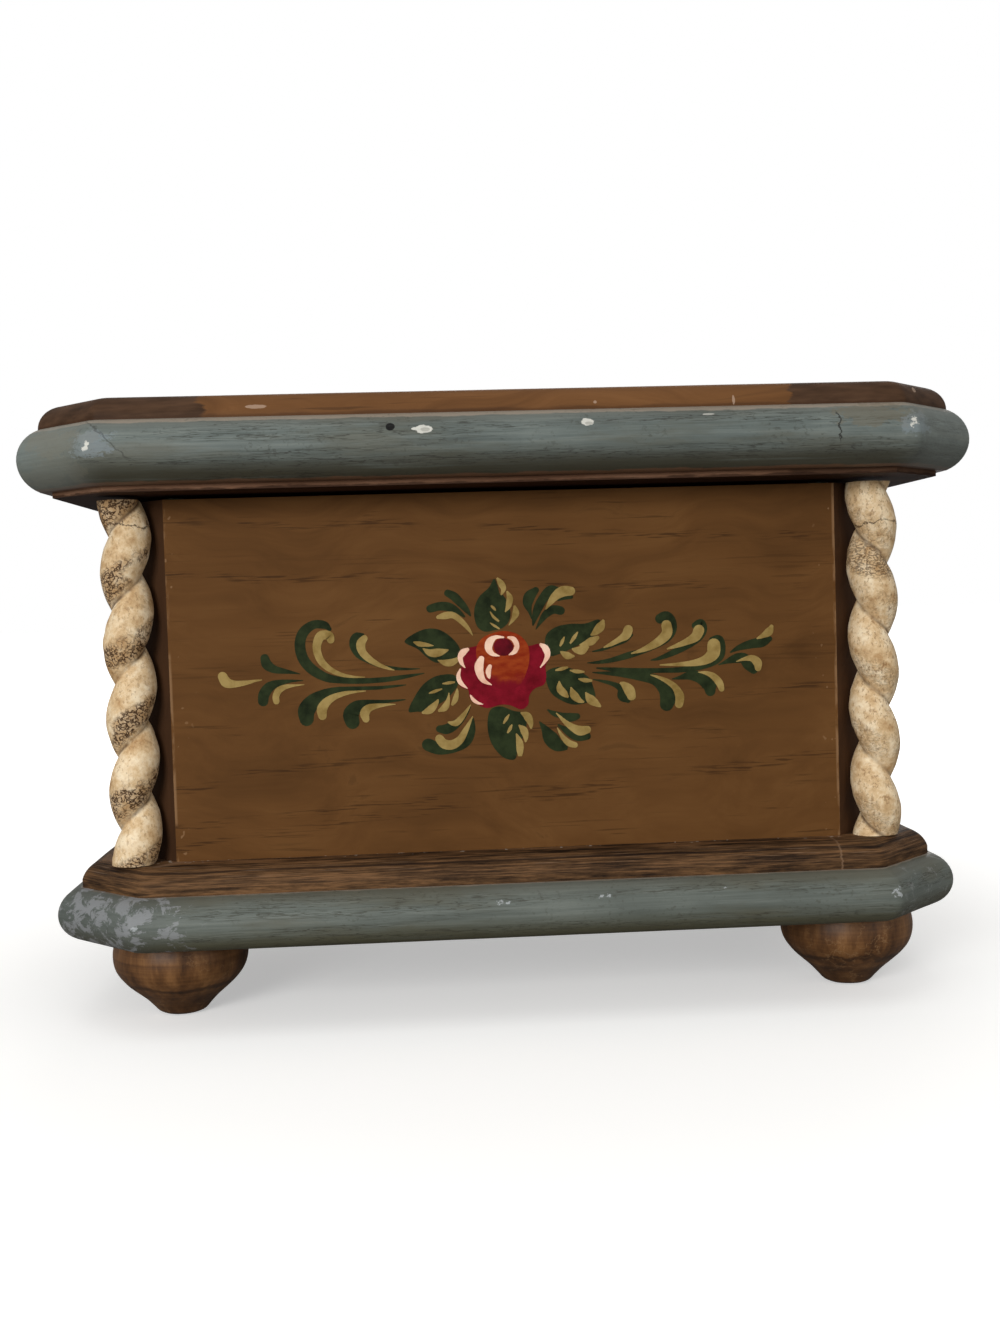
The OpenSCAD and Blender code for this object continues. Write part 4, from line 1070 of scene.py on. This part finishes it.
METALS = {
    "hinge_brass": ((134, 104, 54), (178, 144, 84), 0.4),
    "cast_metal": ((92, 92, 94), (128, 128, 130), 0.5),
    "steel": ((146, 148, 150), (186, 188, 190), 0.3),
    "spring_steel": ((110, 114, 122), (160, 164, 170), 0.28),
    "brass": ((176, 134, 62), (216, 178, 100), 0.28),
    "fan_metal": ((150, 150, 148), (196, 196, 192), 0.35),
}
for slot, look in METALS.items():
    SLOT_MATERIALS[slot] = metal(slot, *look)
NODE_MATERIALS = {
    "front_panel": front_wood("front_wood", panel_tones, low("front_panel").x, high("front_panel").x),
    "left_panel": side_wood,
    "right_panel": side_wood,
    "corner_post_left": post_wood,
    "corner_post_right": post_wood,
    "lid_step_board": lid_ledge_wood(),
}
for name, node in nodes.items():
    slot = node.data.materials[0].name.split(".")[0]
    material = NODE_MATERIALS.get(name) or SLOT_MATERIALS.get(slot)
    if material:
        node.data.materials.clear()
        node.data.materials.append(material)
SOFT_EDGES = (*NODE_MATERIALS, "back_panel", "partition")
for name in SOFT_EDGES:
    bevel = nodes[name].modifiers.new("soft edges", "BEVEL")
    bevel.width = SOFT_EDGE * MM
    bevel.segments = 2
    bevel.limit_method = "ANGLE"

# Mouldings of the lid and the base
lid_roll = moulded_board(
    "lid_roll",
    "lid_roll_board",
    CHAMFER_LEG_LID,
    rolled_profile(*levels("lid_roll_board"), LID_BULGE),
    [blue_paint("lid_blue_paint", lid_marks, 0.875, (58, 54, 40)), under_wood],
)
stand(lid_roll, "lid", "blue_paint", "lid_roll_board")

lid_top = moulded_board(
    "lid_top",
    "lid_top_panel",
    CHAMFER_LEG_LID_TOP,
    rounded_profile(*levels("lid_top_panel"), LID_TOP_ROUND),
    [lid_edge_wood(), panel_wood],
)
stand(lid_top, "lid", "dark_wood", "lid_top_panel")

arbor = centre_of("winding_arbor")
key_hole = (arbor.x, arbor.y, KEY_HOLE_R)
base_roll = moulded_board(
    "base_roll",
    "base_roll_board",
    CHAMFER_LEG_BASE,
    rolled_profile(*levels("base_roll_board"), BASE_BULGE),
    [blue_paint("base_blue_paint", base_marks, 0.955, (76, 72, 48)), under_wood],
    key_hole,
)
stand(base_roll, "case", "blue_paint", "base_roll_board")

step_low, step_high = levels("base_step_board")
land_top = step_low + STEP_LAND
step_profile = [(0, step_low), (0, land_top)] + rounded_profile(land_top, step_high, STEP_ROUND)
base_step = moulded_board(
    "base_step", "base_step_board", CHAMFER_LEG_STEP, step_profile, [step_wood()] * 2, key_hole
)
stand(base_step, "case", "dark_wood", "base_step_board")

# Columns and feet
COLUMN_PAINTS = {
    "left": cream_paint("cream_paint_left", 0.95, 0.45, 105.8),
    "right": cream_paint("cream_paint_right", 0.8, 0.6, 102, cracked=(89.5, 100)),
}
for side, paint in COLUMN_PAINTS.items():
    column = twisted_column(side, paint)
    stand(column, "case", "cream_paint", "column_" + side)

# Half outline of a foot: (radius, z) in mm
FOOT = [
    (4.5, 0.0), (5.5, 0.5), (6.6, 1.7), (8.2, 3.4), (10.7, 5.6), (12.5, 7.3),
    (13.9, 9.2), (14.6, 11.2), (14.75, 13.3), (14.4, 15.6), (13.8, 17.6),
]
foot_stain = foot_wood()
for place in ("front_left", "front_right", "back_left", "back_right"):
    node = "foot_" + place
    foot = turned("turned_" + node, [centre_of(node)], smooth(FOOT, steps=4), foot_stain, FOOT_WEAR)
    stand(foot, "case", "foot_wood", node)

# Felt: the linings and the two pads under the lid
LININGS = {
    "compartment_felt": ("case", 1, "laid", "base_step"),
    "lid_lining": ("lid", -1, "stretched", "lid_step_board"),
}
for node, (body, seen, held, backing) in LININGS.items():
    lining = felt_sheet("red_" + node, node, SLOT_MATERIALS["red_felt"], seen)
    stand(lining, body, "red_felt", node)
    size = (high(node) - low(node)) * MM
    plan_area(plan_corners(node)) * MM ** 2

# Half outline of a pad: (share of its radius, share of its height)
BUMPER = [(0.93, 0.0), (1.0, 0.3), (0.98, 0.6), (0.86, 0.85), (0.6, 0.97), (0.2, 1.0)]
bumper_low = low("lid_bumpers")
bumper_high = high("lid_bumpers")
bumper_r = (bumper_high.y - bumper_low.y) / 2
bumper_at = bumper_high - Vector((bumper_r, bumper_r, 0))
bumper_tall = bumper_high.z - bumper_low.z
bumpers = turned(
    "felt_lid_bumpers",
    [bumper_at, Vector((-bumper_at.x, bumper_at.y))],
    [(r * bumper_r, bumper_low.z + h * bumper_tall) for r, h in BUMPER],
    SLOT_MATERIALS["green_felt"],
    BUMPER_WEAR,
)
stand(bumpers, "case", "green_felt", "lid_bumpers")

# Painted ornament, in the order in which the colours lie over each other: paint, and lift in mm
PAINTS = {
    "green": (brush_paint("green_paint", (24, 32, 16), (44, 53, 30)), 0.04),
    "crimson": (brush_paint("crimson_paint", (98, 6, 20), (128, 16, 34)), 0.085),
    "orange": (rose_paint(), 0.1),
    "ochre": (brush_paint("ochre_paint", (128, 104, 54), (160, 136, 82)), 0.1),
    "eye": (brush_paint("eye_paint", (72, 8, 18), (104, 14, 28)), 0.12),
    "pink": (brush_paint("pink_paint", (226, 172, 144), (246, 208, 182)), 0.14),
}
for colour, (material, lift) in PAINTS.items():
    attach(painted(colour, material, lift), "case")

# Floor, light and camera; sizes and places in metres, power in watts
FLOOR_SIZE = 12
FLOOR_LEVEL = -0.0002
AMBIENT = 0.4
LAMP_TARGET = Vector((0, 0, 0.07))
LAMPS = {
    "key": ((-0.5, -1.05, 0.36), 0.45, 8.5),
    "fill": ((0.7, -0.95, 0.3), 0.7, 1.6),
    "top": ((-0.1, -0.3, 1.2), 0.8, 2.0),
    "back": ((0.2, 1.1, 0.4), 0.9, 5.0),
}
floor_paint = Shader("floor", rough=0.9, gloss=0.0)
floor_seen = floor_paint.node("LightPath", {}, "Is Camera Ray")
floor_paint.base(floor_paint.mix(floor_seen, (150, 149, 147), (238, 237, 234)))
away = floor_paint.node("VectorMath", {0: floor_paint.place()}, "Value", operation="LENGTH")
floor_paint.set("Emission Color", (1, 1, 1, 1))
floor_paint.set("Emission Strength", floor_seen * (away.step(0.1, 0.5) * 0.6 + 0.4))
bpy.ops.mesh.primitive_plane_add(size=FLOOR_SIZE, location=(0, 0, FLOOR_LEVEL))
floor = bpy.context.object
floor.name = "floor"
floor.data.materials.append(floor_paint.material)

world = bpy.data.worlds.new("studio")
scene.world = world
world.use_nodes = True
tree = world.node_tree
backdrop = tree.nodes["Background"]
backdrop.inputs["Color"].default_value = (1, 1, 1, 1)
path = tree.nodes.new("ShaderNodeLightPath")
strength = tree.nodes.new("ShaderNodeMapRange")
tree.links.new(path.outputs["Is Camera Ray"], strength.inputs["Value"])
strength.inputs["To Min"].default_value = AMBIENT
strength.inputs["To Max"].default_value = 1.0
tree.links.new(strength.outputs[0], backdrop.inputs["Strength"])

for name, (place, size, watts) in LAMPS.items():
    light = bpy.data.lights.new(name, "AREA")
    light.size = size
    light.energy = watts
    lamp = bpy.data.objects.new(name, light)
    lamp.location = place
    lamp.rotation_euler = (LAMP_TARGET - Vector(place)).to_track_quat("-Z", "Y").to_euler()
    scene.collection.objects.link(lamp)

view = bpy.data.cameras.new("camera")
view.sensor_width = SENSOR
view.lens = FOCAL_PIXELS * SENSOR / PHOTO_HEIGHT
camera = bpy.data.objects.new("camera", view)
turn = Matrix((across, upright, -forward)).transposed().to_4x4()
camera.matrix_world = Matrix.Translation(CAMERA_AT * MM) @ turn
scene.collection.objects.link(camera)
scene.camera = camera
scene.view_settings.view_transform = "Standard"
